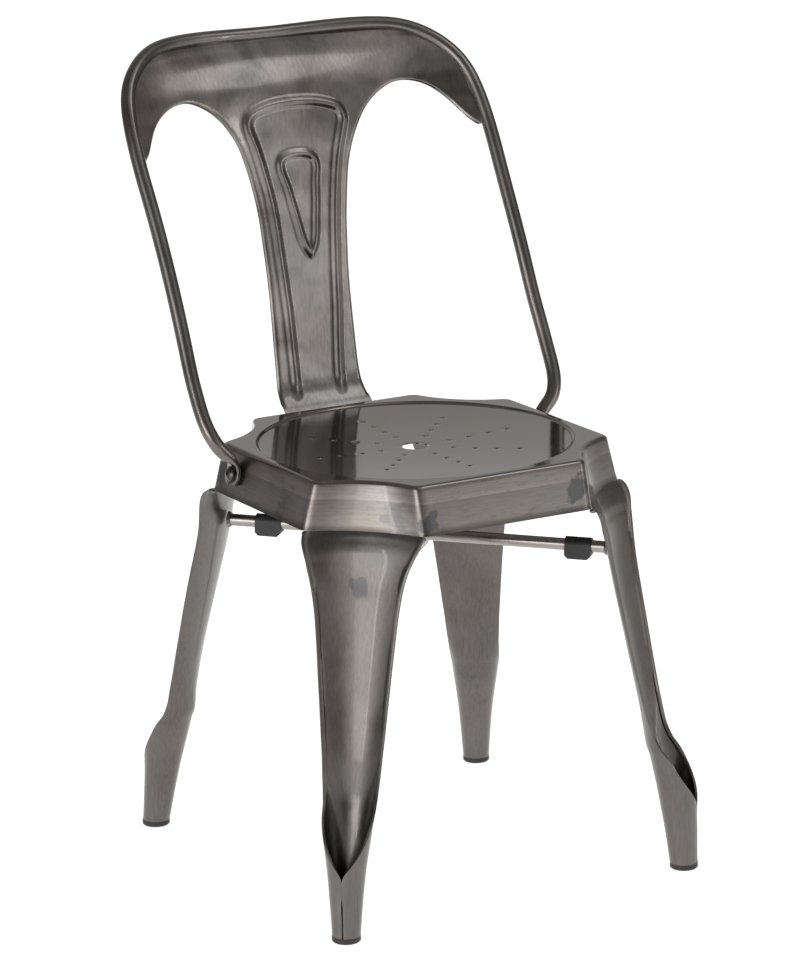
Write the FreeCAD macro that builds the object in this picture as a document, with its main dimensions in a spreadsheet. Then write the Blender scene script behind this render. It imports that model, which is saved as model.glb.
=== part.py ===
import FreeCAD, Part
import math
import os

import Sketcher
from FreeCAD import Vector, Placement, Rotation

# Metal bistro chair: pressed sheet seat, four folded channel legs, tube hoop
# with a pressed back panel, crossed brace bars under the seat.
# Local heights are measured from the rim plane of the seat (z = 0) and every
# piece is placed by the same offset, so that the floor ends at z = 0, +Z is
# up and the front of the chair faces -Y.

doc = FreeCAD.newDocument("bistro_chair")

# ------------------------------------------------------------ dimensions (mm)
sheet = doc.addObject("Spreadsheet::Sheet", "dims")
ROW = [0]


def dim(alias, value, note=""):
    ROW[0] += 1
    sheet.set("A%d" % ROW[0], note or alias)
    sheet.set("B%d" % ROW[0], "%s" % value)
    sheet.setAlias("B%d" % ROW[0], alias)


dim("seat_height", 452.1, "rim plane above the floor")
dim("centre_shift", 49.36, "rearward shift of the bounding box centre")
dim("top_half", 176.0, "half width of the seat at the rim")
dim("top_corner", 100.0, "start of the corner cut at the rim")
dim("low_half", 188.5, "half width of the skirt at its lower edge")
dim("low_corner", 98.5, "start of the corner cut at the lower edge")
dim("skirt_drop", 49.0, "depth of the skirt")
dim("dip_top", 6.0, "hollow of a corner panel at the rim")
dim("dip_low", 3.0, "hollow of a corner panel at the lower edge")
dim("wall", 1.5, "sheet thickness of seat and legs")
dim("corner_round", 9.0, "rounding of the upright bends")
dim("edge_round", 5.0, "rounding of the seat edge")
dim("dish_radius", 166.9, "radius of the dished circle")
dim("dish_depth", 8.0, "depth of the dish at its middle")
dim("step_depth", 2.2, "depth of the step round the dish")
dim("centre_hole", 14.2, "radius of the middle hole")
dim("drain_hole", 2.4, "radius of a drain hole")
dim("ray_one", 41.3, "first drain hole of a ray")
dim("ray_two", 64.9, "second drain hole of a ray")
dim("ray_three", 88.4, "third drain hole of a ray")
dim("ray_four", 112.0, "fourth drain hole of a ray")
dim("tube_radius", 7.75, "outer radius of the hoop tube")
dim("tube_wall", 1.2, "wall of the hoop tube")
dim("eye_radius", 12.5, "radius of a flattened hoop end")
dim("eye_thick", 5.0, "thickness of a flattened hoop end")
dim("bolt_y", 55.0, "bolt position behind the seat centre")
dim("bolt_drop", 25.0, "bolt position below the rim")
dim("bolt_radius", 3.0, "radius of a hoop bolt")
dim("bolt_hole", 3.25, "radius of a hoop bolt hole")
dim("panel_thick", 1.4, "sheet thickness of the back panel")
dim("rib_height", 3.6, "height of the pressed outer rib")
dim("rib_inner", 3.0, "height of the pressed inner rib")
dim("bar_radius", 6.4, "radius of a brace bar")
dim("bar_front_s", 205.6, "front end of a brace bar along the diagonal")
dim("bar_rear_s", 206.6, "rear end of a brace bar along the diagonal")
dim("bar_front_drop", 106.5, "front end of a brace bar below the rim")
dim("bar_rear_drop", 98.6, "rear end of a brace bar below the rim")
dim("joggle_drop", 13.4, "drop of the lower brace bar at the crossing")
dim("pad_length", 27.7, "length of a brace pad")
dim("pad_half", 8.8, "half width of a brace pad")
dim("pad_below", 13.2, "depth of a brace pad below the bar")
dim("pad_bore", 6.5, "radius of the bore of a brace pad")
dim("pad_front_s", 174.3, "front pad centre along the diagonal")
dim("pad_rear_s", 161.3, "rear pad centre along the diagonal")
dim("cap_radius", 14.8, "radius of a foot cap")
dim("cap_height", 6.0, "visible height of a foot cap")
dim("plug_radius", 10.6, "radius of the plug of a foot cap")
dim("plug_height", 8.0, "height of the plug of a foot cap")
dim("foot_front_x", 203.5, "front foot centre, sideways")
dim("foot_front_y", 198.7, "front foot centre, forward")
dim("foot_rear_x", 203.3, "rear foot centre, sideways")
dim("foot_rear_y", 227.7, "rear foot centre, rearward")
dim("rivet_x", 30.0, "rivet position beside the middle")
dim("rivet_drop", 27.0, "rivet position below the rim")
dim("rivet_radius", 2.4, "radius of a rivet shank")
dim("rivet_hole", 2.6, "radius of a rivet hole")

# Leg sections.  Columns: drop below the rim, middle of the rim chord x and y,
# direction the gutter opens to (degrees from the x axis), chord width, depth.
FRONT_OPEN = [
    (6.5, 135.0, 135.0, 45.0, 94.0, 3.2),
    (30.0, 138.4, 138.2, 45.0, 104.0, 2.6),
    (47.5, 141.0, 140.8, 45.0, 113.0, 2.6),
    (58.0, 145.9, 144.9, 45.6, 111.5, 5.4),
    (68.0, 150.4, 147.2, 46.3, 104.5, 8.2),
    (84.0, 154.6, 148.9, 47.0, 96.5, 10.0),
    (105.0, 157.2, 151.2, 47.2, 89.5, 10.4),
    (130.0, 160.0, 154.2, 47.4, 83.4, 10.5),
    (160.0, 163.9, 158.2, 47.6, 78.6, 10.5),
    (190.0, 168.1, 162.4, 47.6, 74.3, 10.5),
    (220.0, 172.2, 166.8, 47.4, 70.0, 10.7),
    (250.0, 176.5, 171.4, 47.0, 65.8, 11.2),
    (275.0, 180.4, 175.6, 46.6, 62.0, 12.4),
    (297.0, 184.4, 179.8, 46.2, 58.4, 15.0),
]
REAR_OPEN = [
    (6.5, 135.0, 135.0, 45.0, 94.0, 3.2),
    (30.0, 138.2, 138.4, 45.0, 104.0, 2.6),
    (47.5, 140.8, 141.0, 45.0, 113.0, 2.6),
    (58.0, 144.8, 146.2, 45.4, 111.5, 5.4),
    (68.0, 148.0, 149.9, 46.2, 104.5, 8.2),
    (84.0, 151.4, 154.6, 47.4, 97.5, 10.0),
    (105.0, 154.8, 159.4, 48.8, 91.5, 10.4),
    (130.0, 158.6, 164.8, 50.2, 86.0, 10.5),
    (160.0, 163.1, 171.3, 51.6, 79.8, 10.5),
    (190.0, 167.6, 177.6, 52.2, 74.6, 10.5),
    (225.0, 172.9, 184.4, 52.4, 68.4, 10.7),
    (250.0, 176.6, 189.2, 52.8, 64.4, 11.2),
    (275.0, 180.4, 193.9, 53.2, 60.4, 12.4),
    (297.0, 184.0, 198.2, 53.0, 57.2, 15.0),
]
# Closing sections.  Columns: drop, centre x and y, direction, mid sheet
# radius, half opening angle of the sheet in degrees (180 = closed tube).
FRONT_SHUT = [
    (315.0, 195.4, 191.9, 46.0, 28.6, 74.0),
    (328.0, 196.6, 193.0, 46.0, 26.2, 90.0),
    (342.0, 197.5, 193.8, 46.0, 24.2, 107.0),
    (355.0, 198.2, 194.2, 45.8, 22.4, 126.0),
    (368.0, 198.9, 194.5, 45.6, 20.6, 150.0),
    (382.0, 199.6, 194.9, 45.4, 18.9, 176.6),
    (414.0, 201.6, 196.8, 45.0, 16.1, 177.2),
    (446.1, 203.3, 198.5, 45.0, 13.9, 177.2),
]
REAR_SHUT = [
    (315.0, 193.2, 209.5, 53.0, 28.6, 74.0),
    (328.0, 194.2, 211.4, 52.8, 26.2, 90.0),
    (342.0, 195.1, 213.1, 52.4, 24.2, 107.0),
    (355.0, 196.0, 214.8, 52.0, 22.4, 126.0),
    (368.0, 196.9, 216.6, 51.6, 20.6, 150.0),
    (382.0, 197.9, 218.5, 51.2, 18.9, 176.6),
    (414.0, 200.4, 223.0, 50.8, 16.1, 177.2),
    (446.1, 203.1, 227.4, 50.6, 13.9, 177.2),
]
TABLES = {}
for name, rows in (("fo", FRONT_OPEN), ("ro", REAR_OPEN), ("fs", FRONT_SHUT), ("rs", REAR_SHUT)):
    TABLES[name] = []
    for i, row in enumerate(rows):
        keys = []
        for j, v in enumerate(row):
            key = "leg_%s_%s_%s" % (name, "abcdefghijklmnopq"[i], ("drop", "px", "py", "turn", "size", "open")[j])
            dim(key, v)
            keys.append(key)
        TABLES[name].append(keys)

# Hoop centre line, right half, from the arm up to the middle of the top.
HOOP = [
    (189.6, 55.0, -11.5), (194.6, 54.9, -3.5), (200.9, 55.2, 5.2), (206.4, 58.2, 14.6),
    (210.0, 63.4, 24.9), (211.8, 70.2, 36.5), (212.5, 80.8, 54.9), (212.6, 90.8, 73.6),
    (211.8, 104.1, 100.5), (211.3, 127.0, 150.4), (211.3, 151.4, 199.2), (212.0, 178.0, 248.1),
    (212.5, 189.0, 267.6), (212.2, 204.5, 294.5), (210.0, 220.2, 320.3), (203.6, 237.4, 345.0),
    (195.8, 248.2, 357.8), (179.0, 263.4, 373.2), (151.2, 281.0, 385.6), (120.0, 292.6, 389.4),
    (86.8, 300.4, 389.6), (41.3, 306.4, 388.2), (0.0, 308.0, 387.4),
]
for i, p in enumerate(HOOP):
    for a, v in zip("xyz", p):
        dim("hoop_%s_%s" % ("abcdefghijklmnopqrstuvwxyz"[i], a + "pos"), v)

doc.recompute()


def val(alias):
    v = sheet.get(alias)
    return float(getattr(v, "Value", v))


PLACE_Y = "-dims.centre_shift"
PLACE_Z = "dims.seat_height"


def place(obj):
    """The common offset of every piece, bound to the sheet."""
    obj.Placement = Placement(Vector(0, -val("centre_shift"), val("seat_height")), Rotation())
    obj.setExpression(".Placement.Base.y", PLACE_Y)
    obj.setExpression(".Placement.Base.z", PLACE_Z)


# ---------------------------------------------------------------- sketch help
def plane(body, role):
    for f in body.Origin.OriginFeatures:
        if f.Role == role:
            return f
    raise ValueError(role)


def new_sketch(body, name, role, offset=None, expr=None):
    sk = body.newObject("Sketcher::SketchObject", name)
    sk.AttachmentSupport = [(plane(body, role), "")]
    sk.MapMode = "FlatFace"
    if offset is not None:
        sk.AttachmentOffset = Placement(offset, Rotation())
    if expr:
        for k, e in expr.items():
            sk.setExpression(k, e)
    return sk


def pin(sk, geo, pos, ex, ey, px, py):
    """Fix one point by its distances from the origin, from the sheet."""
    for kind, e, v in (("DistanceX", ex, px), ("DistanceY", ey, py)):
        if abs(v) < 1e-9:
            sk.addConstraint(Sketcher.Constraint("PointOnObject", geo, pos, -2 if kind == "DistanceX" else -1))
            continue
        if v > 0:
            c = sk.addConstraint(Sketcher.Constraint(kind, -1, 1, geo, pos, v))
        else:
            c = sk.addConstraint(Sketcher.Constraint(kind, geo, pos, -1, 1, -v))
            e = "-(%s)" % e if e else e
        if e:
            sk.setExpression("Constraints[%d]" % c, e)


def polygon(sk, pts):
    """Closed polygon; pts holds (x, y, expression x, expression y)."""
    n = len(pts)
    for i in range(n):
        a, b = pts[i], pts[(i + 1) % n]
        sk.addGeometry(Part.LineSegment(Vector(a[0], a[1], 0), Vector(b[0], b[1], 0)), False)
    for i in range(n):
        sk.addConstraint(Sketcher.Constraint("Coincident", i, 2, (i + 1) % n, 1))
    for i, p in enumerate(pts):
        pin(sk, i, 1, p[2], p[3], p[0], p[1])


def circle(sk, x, y, r, er, ex=None, ey=None):
    g = sk.addGeometry(Part.Circle(Vector(x, y, 0), Vector(0, 0, 1), r), False)
    c = sk.addConstraint(Sketcher.Constraint("Radius", g, r))
    sk.setExpression("Constraints[%d]" % c, er)
    if abs(x) < 1e-9 and abs(y) < 1e-9:
        sk.addConstraint(Sketcher.Constraint("Coincident", g, 3, -1, 1))
    else:
        pin(sk, g, 3, ex, ey, x, y)
    return g


def octagon(sk, half, corner, dip, e_half, e_corner, e_dip):
    """Square with hollow corner cuts: four lines and four arcs."""
    h, c = half, corner
    pts = [(c, -h), (h, -c), (h, c), (c, h), (-c, h), (-h, c), (-h, -c), (-c, -h)]
    exs = [("C", "-H"), ("H", "-C"), ("H", "C"), ("C", "H"), ("-C", "H"), ("-H", "C"), ("-H", "-C"), ("-C", "-H")]
    chord = (h - c) * math.sqrt(2)
    rad = (chord * chord / 4 + dip * dip) / (2 * dip)
    e_rad = "(((%s)-(%s))*((%s)-(%s))*2/4+(%s)*(%s))/(2*(%s))" % (e_half, e_corner, e_half, e_corner, e_dip, e_dip, e_dip)
    for i in range(8):
        a, b = pts[i], pts[(i + 1) % 8]
        va, vb = Vector(a[0], a[1], 0), Vector(b[0], b[1], 0)
        if i % 2 == 0:
            m = (va + vb) * 0.5
            inward = Vector(-m.x, -m.y, 0)
            inward.normalize()
            mid = m - inward * (rad - dip)
            a0 = math.atan2(va.y - mid.y, va.x - mid.x)
            a1 = math.atan2(vb.y - mid.y, vb.x - mid.x)
            if (a1 - a0) % (2 * math.pi) > math.pi:
                a0, a1 = a1, a0
            if a1 < a0:
                a1 += 2 * math.pi
            sk.addGeometry(Part.ArcOfCircle(Part.Circle(mid, Vector(0, 0, 1), rad), a0, a1), False)
        else:
            sk.addGeometry(Part.LineSegment(va, vb), False)
    # an arc is always stored anticlockwise, so its ends may be swapped
    def end(i, first):
        if i % 2 == 1:
            return 1 if first else 2
        p = pts[i] if first else pts[(i + 1) % 8]
        s = sk.Geometry[i].StartPoint
        return 1 if (s - Vector(p[0], p[1], 0)).Length < 1e-6 else 2
    for i in range(8):
        j = (i + 1) % 8
        sk.addConstraint(Sketcher.Constraint("Coincident", i, end(i, False), j, end(j, True)))
    for i in range(8):
        if i % 2 == 0:
            continue
        for first, k in ((True, i), (False, (i + 1) % 8)):
            ex, ey = exs[k]
            sub = lambda t: t.replace("H", "(%s)" % e_half).replace("C", "(%s)" % e_corner)
            px, py = pts[k]
            absx, absy = ex.replace("-", ""), ey.replace("-", "")
            for kind, e, v in (("DistanceX", absx, px), ("DistanceY", absy, py)):
                if v > 0:
                    c_ = sk.addConstraint(Sketcher.Constraint(kind, -1, 1, i, end(i, first), v))
                else:
                    c_ = sk.addConstraint(Sketcher.Constraint(kind, i, end(i, first), -1, 1, -v))
                sk.setExpression("Constraints[%d]" % c_, sub(e))
    for i in (0, 2, 4, 6):
        c_ = sk.addConstraint(Sketcher.Constraint("Radius", i, rad))
        sk.setExpression("Constraints[%d]" % c_, e_rad)


NODES = []


def node(obj, name):
    obj.Label = name
    NODES.append((name, obj))
    return obj


def edge_names(shape, test):
    return ["Edge%d" % (i + 1) for i, e in enumerate(shape.Edges) if test(e)]


def zs(e):
    z = [v.Point.z for v in e.Vertexes]
    return min(z), max(z)


def ends(sk, g):
    return sk.Geometry[g].StartPoint, sk.Geometry[g].EndPoint


def join(sk, order):
    n = len(order)
    for i in range(n):
        a, b = order[i], order[(i + 1) % n]
        best = None
        for pa, va in ((1, ends(sk, a)[0]), (2, ends(sk, a)[1])):
            for pb, vb in ((1, ends(sk, b)[0]), (2, ends(sk, b)[1])):
                d = (va - vb).Length
                if best is None or d < best[0]:
                    best = (d, pa, pb)
        sk.addConstraint(Sketcher.Constraint("Coincident", a, best[1], b, best[2]))


# ------------------------------------------------------------------ foot caps
SH = val("seat_height")
for name, sx, sy, kx, ky in (("foot_cap_front_left", -1, -1, "foot_front_x", "foot_front_y"),
                             ("foot_cap_front_right", 1, -1, "foot_front_x", "foot_front_y"),
                             ("foot_cap_rear_left", -1, 1, "foot_rear_x", "foot_rear_y"),
                             ("foot_cap_rear_right", 1, 1, "foot_rear_x", "foot_rear_y")):
    body = doc.addObject("PartDesign::Body", name + "_body")
    sk = new_sketch(body, name + "_disc", "XY_Plane")
    circle(sk, 0, 0, val("cap_radius"), "dims.cap_radius")
    doc.recompute()
    pad = body.newObject("PartDesign::Pad", name + "_pad")
    pad.Profile = sk
    pad.Length = val("cap_height")
    pad.setExpression("Length", "dims.cap_height-0.1")
    doc.recompute()
    ch = body.newObject("PartDesign::Chamfer", name + "_edge")
    ch.Base = (pad, edge_names(pad.Shape, lambda e: zs(e)[1] < 0.01 and len(e.Vertexes) == 1))
    ch.Size = 1.2
    doc.recompute()
    sk2 = new_sketch(body, name + "_plug_outline", "XY_Plane")
    circle(sk2, 0, 0, val("plug_radius"), "dims.plug_radius")
    doc.recompute()
    plug = body.newObject("PartDesign::Pad", name + "_plug")
    plug.Profile = sk2
    plug.Length = val("cap_height") + val("plug_height")
    plug.setExpression("Length", "dims.cap_height+dims.plug_height")
    doc.recompute()
    body.Tip = plug
    body.Placement = Placement(Vector(sx * val(kx), sy * val(ky) - val("centre_shift"), 0), Rotation())
    body.setExpression(".Placement.Base.x", "%sdims.%s" % ("-" if sx < 0 else "", kx))
    body.setExpression(".Placement.Base.y", "%sdims.%s-dims.centre_shift" % ("-" if sy < 0 else "", ky))
    node(body, name)

D2 = math.sqrt(0.5)


def diag(s, drop, sx, sy):
    """Point at distance s from the middle towards one leg."""
    return Vector(sx * s * D2, sy * s * D2, -drop)


FS, RS, FD, RDp = val("bar_front_s"), val("bar_rear_s"), val("bar_front_drop"), val("bar_rear_drop")


def drop_at(s):
    """s runs from the front end (negative) to the rear end."""
    return FD + (RDp - FD) * (s + FS) / (FS + RS)


# ----------------------------------------------------------------- brace pads
BAR_LEAN = math.degrees(math.atan((FD - RDp) / (FS + RS)))
for name, sx, sy, key in (("brace_pad_front_left", -1, -1, "pad_front_s"), ("brace_pad_front_right", 1, -1, "pad_front_s"),
                          ("brace_pad_rear_left", -1, 1, "pad_rear_s"), ("brace_pad_rear_right", 1, 1, "pad_rear_s")):
    body = doc.addObject("PartDesign::Body", name + "_body")
    sk = new_sketch(body, name + "_outline", "YZ_Plane")
    hw, bl = val("pad_half"), val("pad_below")
    # round over the bar, straight block below it
    sk.addGeometry(Part.Arc(Vector(hw, 0, 0), Vector(0, hw, 0), Vector(-hw, 0, 0)), False)
    sk.addGeometry(Part.LineSegment(Vector(-hw, 0, 0), Vector(-hw, -bl, 0)), False)
    sk.addGeometry(Part.LineSegment(Vector(-hw, -bl, 0), Vector(hw, -bl, 0)), False)
    sk.addGeometry(Part.LineSegment(Vector(hw, -bl, 0), Vector(hw, 0, 0)), False)
    join(sk, [0, 1, 2, 3])
    sk.addConstraint(Sketcher.Constraint("Coincident", 0, 3, -1, 1))
    c_ = sk.addConstraint(Sketcher.Constraint("Radius", 0, hw))
    sk.setExpression("Constraints[%d]" % c_, "dims.pad_half")
    sk.addConstraint(Sketcher.Constraint("Vertical", 1))
    sk.addConstraint(Sketcher.Constraint("Vertical", 3))
    sk.addConstraint(Sketcher.Constraint("Horizontal", 2))
    sk.addConstraint(Sketcher.Constraint("PointOnObject", 3, 2, -1))
    c_ = sk.addConstraint(Sketcher.Constraint("DistanceY", 3, 1, 3, 2, bl))
    sk.setExpression("Constraints[%d]" % c_, "dims.pad_below")
    doc.recompute()
    pad = body.newObject("PartDesign::Pad", name + "_block")
    pad.Profile = sk
    pad.Length = val("pad_length")
    pad.Midplane = True
    pad.setExpression("Length", "dims.pad_length")
    doc.recompute()
    ch = body.newObject("PartDesign::Chamfer", name + "_corner")
    ch.Base = (pad, edge_names(pad.Shape, lambda e: zs(e)[1] < -bl + 0.01 and abs(e.Vertexes[0].Point.x - e.Vertexes[-1].Point.x) < 0.01))
    ch.Size = 3.5
    doc.recompute()
    sb = new_sketch(body, name + "_bore_outline", "YZ_Plane")
    circle(sb, 0, 0, val("pad_bore"), "dims.pad_bore")
    doc.recompute()
    bore = body.newObject("PartDesign::Pocket", name + "_bore")
    bore.Profile = sb
    bore.Type = 0
    bore.Length = 60
    bore.Midplane = True
    doc.recompute()
    body.Tip = bore
    s = val(key)
    dr = drop_at(s if sy > 0 else -s)
    p = diag(s, dr, sx, sy)
    yaw = math.degrees(math.atan2(sy, sx))
    # local x runs along the bar; the bar climbs towards the rear
    pitch = -BAR_LEAN if sy > 0 else BAR_LEAN
    rot = Rotation(Vector(0, 0, 1), yaw).multiply(Rotation(Vector(0, 1, 0), pitch))
    body.Placement = Placement(p + Vector(0, -val("centre_shift"), val("seat_height")), rot)
    body.setExpression(".Placement.Base.y", "%.9g - dims.centre_shift" % p.y)
    body.setExpression(".Placement.Base.z", "dims.seat_height + (%.9g)" % p.z)
    node(body, name)

# ------------------------------------------------------------------- seat pan
H0, C0, H1, C1 = val("top_half"), val("top_corner"), val("low_half"), val("low_corner")
DROP, T = val("skirt_drop"), val("wall")

seat = doc.addObject("PartDesign::Body", "seat_body")
s_top = new_sketch(seat, "rim_outline", "XY_Plane")
octagon(s_top, H0, C0, val("dip_top"), "dims.top_half", "dims.top_corner", "dims.dip_top")
s_low = new_sketch(seat, "lower_outline", "XY_Plane", Vector(0, 0, -DROP),
                   {".AttachmentOffset.Base.z": "-dims.skirt_drop"})
octagon(s_low, H1, C1, val("dip_low"), "dims.low_half", "dims.low_corner", "dims.dip_low")
doc.recompute()
shell = seat.newObject("PartDesign::AdditiveLoft", "pressed_outside")
shell.Profile = s_top
shell.Sections = [s_low]
shell.Ruled = True
doc.recompute()


up = seat.newObject("PartDesign::Fillet", "upright_bends")
up.Base = (shell, edge_names(shell.Shape, lambda e: zs(e)[1] - zs(e)[0] > 20))
up.Radius = val("corner_round")
up.setExpression("Radius", "dims.corner_round")
doc.recompute()
rim = seat.newObject("PartDesign::Fillet", "rim_bend")
rim.Base = (up, edge_names(up.Shape, lambda e: zs(e)[0] > -0.01))
rim.Radius = val("edge_round")
rim.setExpression("Radius", "dims.edge_round")
doc.recompute()

# inner side of the sheet, as a body that is taken away from the outside
inside = doc.addObject("PartDesign::Body", "seat_inside_body")
s_itop = new_sketch(inside, "inner_rim", "XY_Plane", Vector(0, 0, -T), {".AttachmentOffset.Base.z": "-dims.wall"})
e_hi = "dims.top_half-dims.wall*0.75"
e_ci = "dims.top_corner-dims.wall*0.62"
octagon(s_itop, H0 - T * 0.75, C0 - T * 0.62, val("dip_top"), e_hi, e_ci, "dims.dip_top")
s_ilow = new_sketch(inside, "inner_low", "XY_Plane", Vector(0, 0, -DROP - 1.0),
                    {".AttachmentOffset.Base.z": "-dims.skirt_drop-1"})
octagon(s_ilow, H1 - T * 0.86, C1 - T * 0.62, val("dip_low"), "dims.low_half-dims.wall*0.86",
        "dims.low_corner-dims.wall*0.62", "dims.dip_low")
doc.recompute()
hollow = inside.newObject("PartDesign::AdditiveLoft", "pressed_inside")
hollow.Profile = s_itop
hollow.Sections = [s_ilow]
hollow.Ruled = True
doc.recompute()
iu = inside.newObject("PartDesign::Fillet", "inner_bends")
iu.Base = (hollow, edge_names(hollow.Shape, lambda e: zs(e)[1] - zs(e)[0] > 20))
iu.Radius = val("corner_round") - T
iu.setExpression("Radius", "dims.corner_round-dims.wall")
doc.recompute()
ir = inside.newObject("PartDesign::Fillet", "inner_rim_bend")
ir.Base = (iu, edge_names(iu.Shape, lambda e: zs(e)[0] > -T - 0.01))
ir.Radius = val("edge_round") - T
ir.setExpression("Radius", "dims.edge_round-dims.wall")
doc.recompute()

# the dished circle
RD, DD, SD = val("dish_radius"), val("dish_depth"), val("step_depth")
open_body = doc.addObject("PartDesign::Body", "dish_opening_body")
s_cut = new_sketch(open_body, "dish_cut", "XY_Plane", Vector(0, 0, -10))
circle(s_cut, 0, 0, RD, "dims.dish_radius")
doc.recompute()
cut = open_body.newObject("PartDesign::Pad", "dish_opening")
cut.Profile = s_cut
cut.Length = 20
doc.recompute()
dish_body = doc.addObject("PartDesign::Body", "dish_body")
s_dish = new_sketch(dish_body, "dish_profile", "XZ_Plane")
r_in = RD - 3.6
z_arc = -(SD + 0.0)


def arc3(a, b, c):
    return Part.Arc(Vector(*a), Vector(*b), Vector(*c))


# quarter section of the pressed dish, inner radius to the rim
def dish_mid(r, z0, z1):
    return z0 + (z1 - z0) * (r / r_in) ** 2


s_dish.addGeometry(arc3((0, -DD, 0), (r_in / 2, dish_mid(r_in / 2, -DD, z_arc), 0), (r_in, z_arc, 0)), False)
s_dish.addGeometry(Part.LineSegment(Vector(r_in, z_arc, 0), Vector(RD - 0.9, -0.25, 0)), False)
s_dish.addGeometry(Part.LineSegment(Vector(RD - 0.9, -0.25, 0), Vector(RD + 0.6, 0, 0)), False)
s_dish.addGeometry(Part.LineSegment(Vector(RD + 0.6, 0, 0), Vector(RD + 0.6, -T, 0)), False)
s_dish.addGeometry(Part.LineSegment(Vector(RD + 0.6, -T, 0), Vector(RD - 0.2, -T - 0.1, 0)), False)
s_dish.addGeometry(Part.LineSegment(Vector(RD - 0.2, -T - 0.1, 0), Vector(r_in + 0.4, z_arc - T, 0)), False)
s_dish.addGeometry(arc3((0, -DD - T, 0), (r_in / 2, dish_mid(r_in / 2, -DD, z_arc) - T, 0), (r_in + 0.4, z_arc - T, 0)), False)
s_dish.addGeometry(Part.LineSegment(Vector(0, -DD - T, 0), Vector(0, -DD, 0)), False)


join(s_dish, [0, 1, 2, 3, 4, 5, 6, 7])
s_dish.addConstraint(Sketcher.Constraint("PointOnObject", 7, 1, -2))
s_dish.addConstraint(Sketcher.Constraint("PointOnObject", 7, 2, -2))
c_ = s_dish.addConstraint(Sketcher.Constraint("DistanceY", 7, 2, -1, 1, DD))
s_dish.setExpression("Constraints[%d]" % c_, "dims.dish_depth")
c_ = s_dish.addConstraint(Sketcher.Constraint("DistanceY", 7, 1, 7, 2, T))
s_dish.setExpression("Constraints[%d]" % c_, "dims.wall")
c_ = s_dish.addConstraint(Sketcher.Constraint("DistanceX", -1, 1, 3, 1, RD + 0.6))
s_dish.setExpression("Constraints[%d]" % c_, "dims.dish_radius+0.6")
doc.recompute()
dish = dish_body.newObject("PartDesign::Revolution", "dish")
dish.Profile = s_dish
dish.ReferenceAxis = (s_dish, ["V_Axis"])
dish.Angle = 360
doc.recompute()

# middle hole and the eight rays of drain holes, cut by a punch body
punch = doc.addObject("PartDesign::Body", "middle_punch_body")
s_mid = new_sketch(punch, "middle_hole_outline", "XY_Plane", Vector(0, 0, -15))
circle(s_mid, 0, 0, val("centre_hole"), "dims.centre_hole")
doc.recompute()
mid = punch.newObject("PartDesign::Pad", "middle_hole")
mid.Profile = s_mid
mid.Length = 30
doc.recompute()
ray_body = doc.addObject("PartDesign::Body", "ray_punch_body")
s_seed = new_sketch(ray_body, "seed_outline", "XY_Plane", Vector(0, 0, 10))
circle(s_seed, 0, 0, val("ray_four") + 6, "dims.ray_four+6")
s_ray = new_sketch(ray_body, "ray_outline", "XY_Plane", Vector(0, 0, -15))
for a in ("ray_one", "ray_two", "ray_three", "ray_four"):
    g = s_ray.addGeometry(Part.Circle(Vector(val(a), 0, 0), Vector(0, 0, 1), val("drain_hole")), False)
    c_ = s_ray.addConstraint(Sketcher.Constraint("Radius", g, val("drain_hole")))
    s_ray.setExpression("Constraints[%d]" % c_, "dims.drain_hole")
    s_ray.addConstraint(Sketcher.Constraint("PointOnObject", g, 3, -1))
    c_ = s_ray.addConstraint(Sketcher.Constraint("DistanceX", -1, 1, g, 3, val(a)))
    s_ray.setExpression("Constraints[%d]" % c_, "dims.%s" % a)
doc.recompute()
plate = ray_body.newObject("PartDesign::Pad", "punch_plate")
plate.Profile = s_seed
plate.Length = 4
doc.recompute()
ray = ray_body.newObject("PartDesign::Pad", "ray_holes")
ray.Profile = s_ray
ray.Length = 26
doc.recompute()
ray_body.Tip = ray
rays = ray_body.newObject("PartDesign::PolarPattern", "eight_rays")
rays.Originals = [ray]
rays.Axis = (plane(ray_body, "Z_Axis"), [""])
rays.Angle = 360
rays.Occurrences = 8
ray_body.Tip = rays
doc.recompute()

# hoop bolt holes through both side panels, rivet holes through the rear panel
SLOPE = (H1 - H0) / DROP
LEAN = math.degrees(math.atan(SLOPE))
bolt_punch = []
for sx in (-1, 1):
    c = doc.addObject("Part::Cylinder", "bolt_punch_%s" % ("left" if sx < 0 else "right"))
    c.Radius = val("bolt_hole")
    c.setExpression("Radius", "dims.bolt_hole")
    c.Height = 24
    d = Vector(sx * math.cos(math.radians(LEAN)), 0, math.sin(math.radians(LEAN)))
    at = Vector(sx * (H0 + SLOPE * val("bolt_drop")), val("bolt_y"), -val("bolt_drop"))
    c.Placement = Placement(at - d * 12, Rotation(Vector(0, 0, 1), d))
    bolt_punch.append(c)
for sx in (-1, 1):
    c = doc.addObject("Part::Cylinder", "rivet_punch_%s" % ("left" if sx < 0 else "right"))
    c.Radius = val("rivet_hole")
    c.setExpression("Radius", "dims.rivet_hole")
    c.Height = 30
    c.Placement = Placement(Vector(sx * val("rivet_x"), H0 - 8, -val("rivet_drop")), Rotation(Vector(0, 0, 1), Vector(0, 1, 0)))
    c.setExpression(".Placement.Base.x", "%sdims.rivet_x" % ("-" if sx < 0 else ""))
    c.setExpression(".Placement.Base.z", "-dims.rivet_drop")
    bolt_punch.append(c)
doc.recompute()
away = doc.addObject("Part::MultiFuse", "seat_inside_all")
away.Shapes = [inside, open_body]
away.Refine = False
doc.recompute()
thin = doc.addObject("Part::Cut", "seat_sheet")
thin.Base = seat
thin.Tool = away
doc.recompute()
with_dish = doc.addObject("Part::Fuse", "seat_with_dish")
with_dish.Base = thin
with_dish.Tool = dish_body
doc.recompute()
punches = doc.addObject("Part::MultiFuse", "seat_punches")
punches.Shapes = [punch] + bolt_punch
punches.Refine = False
doc.recompute()
pierced = doc.addObject("Part::Cut", "seat_pierced")
pierced.Base = with_dish
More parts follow.
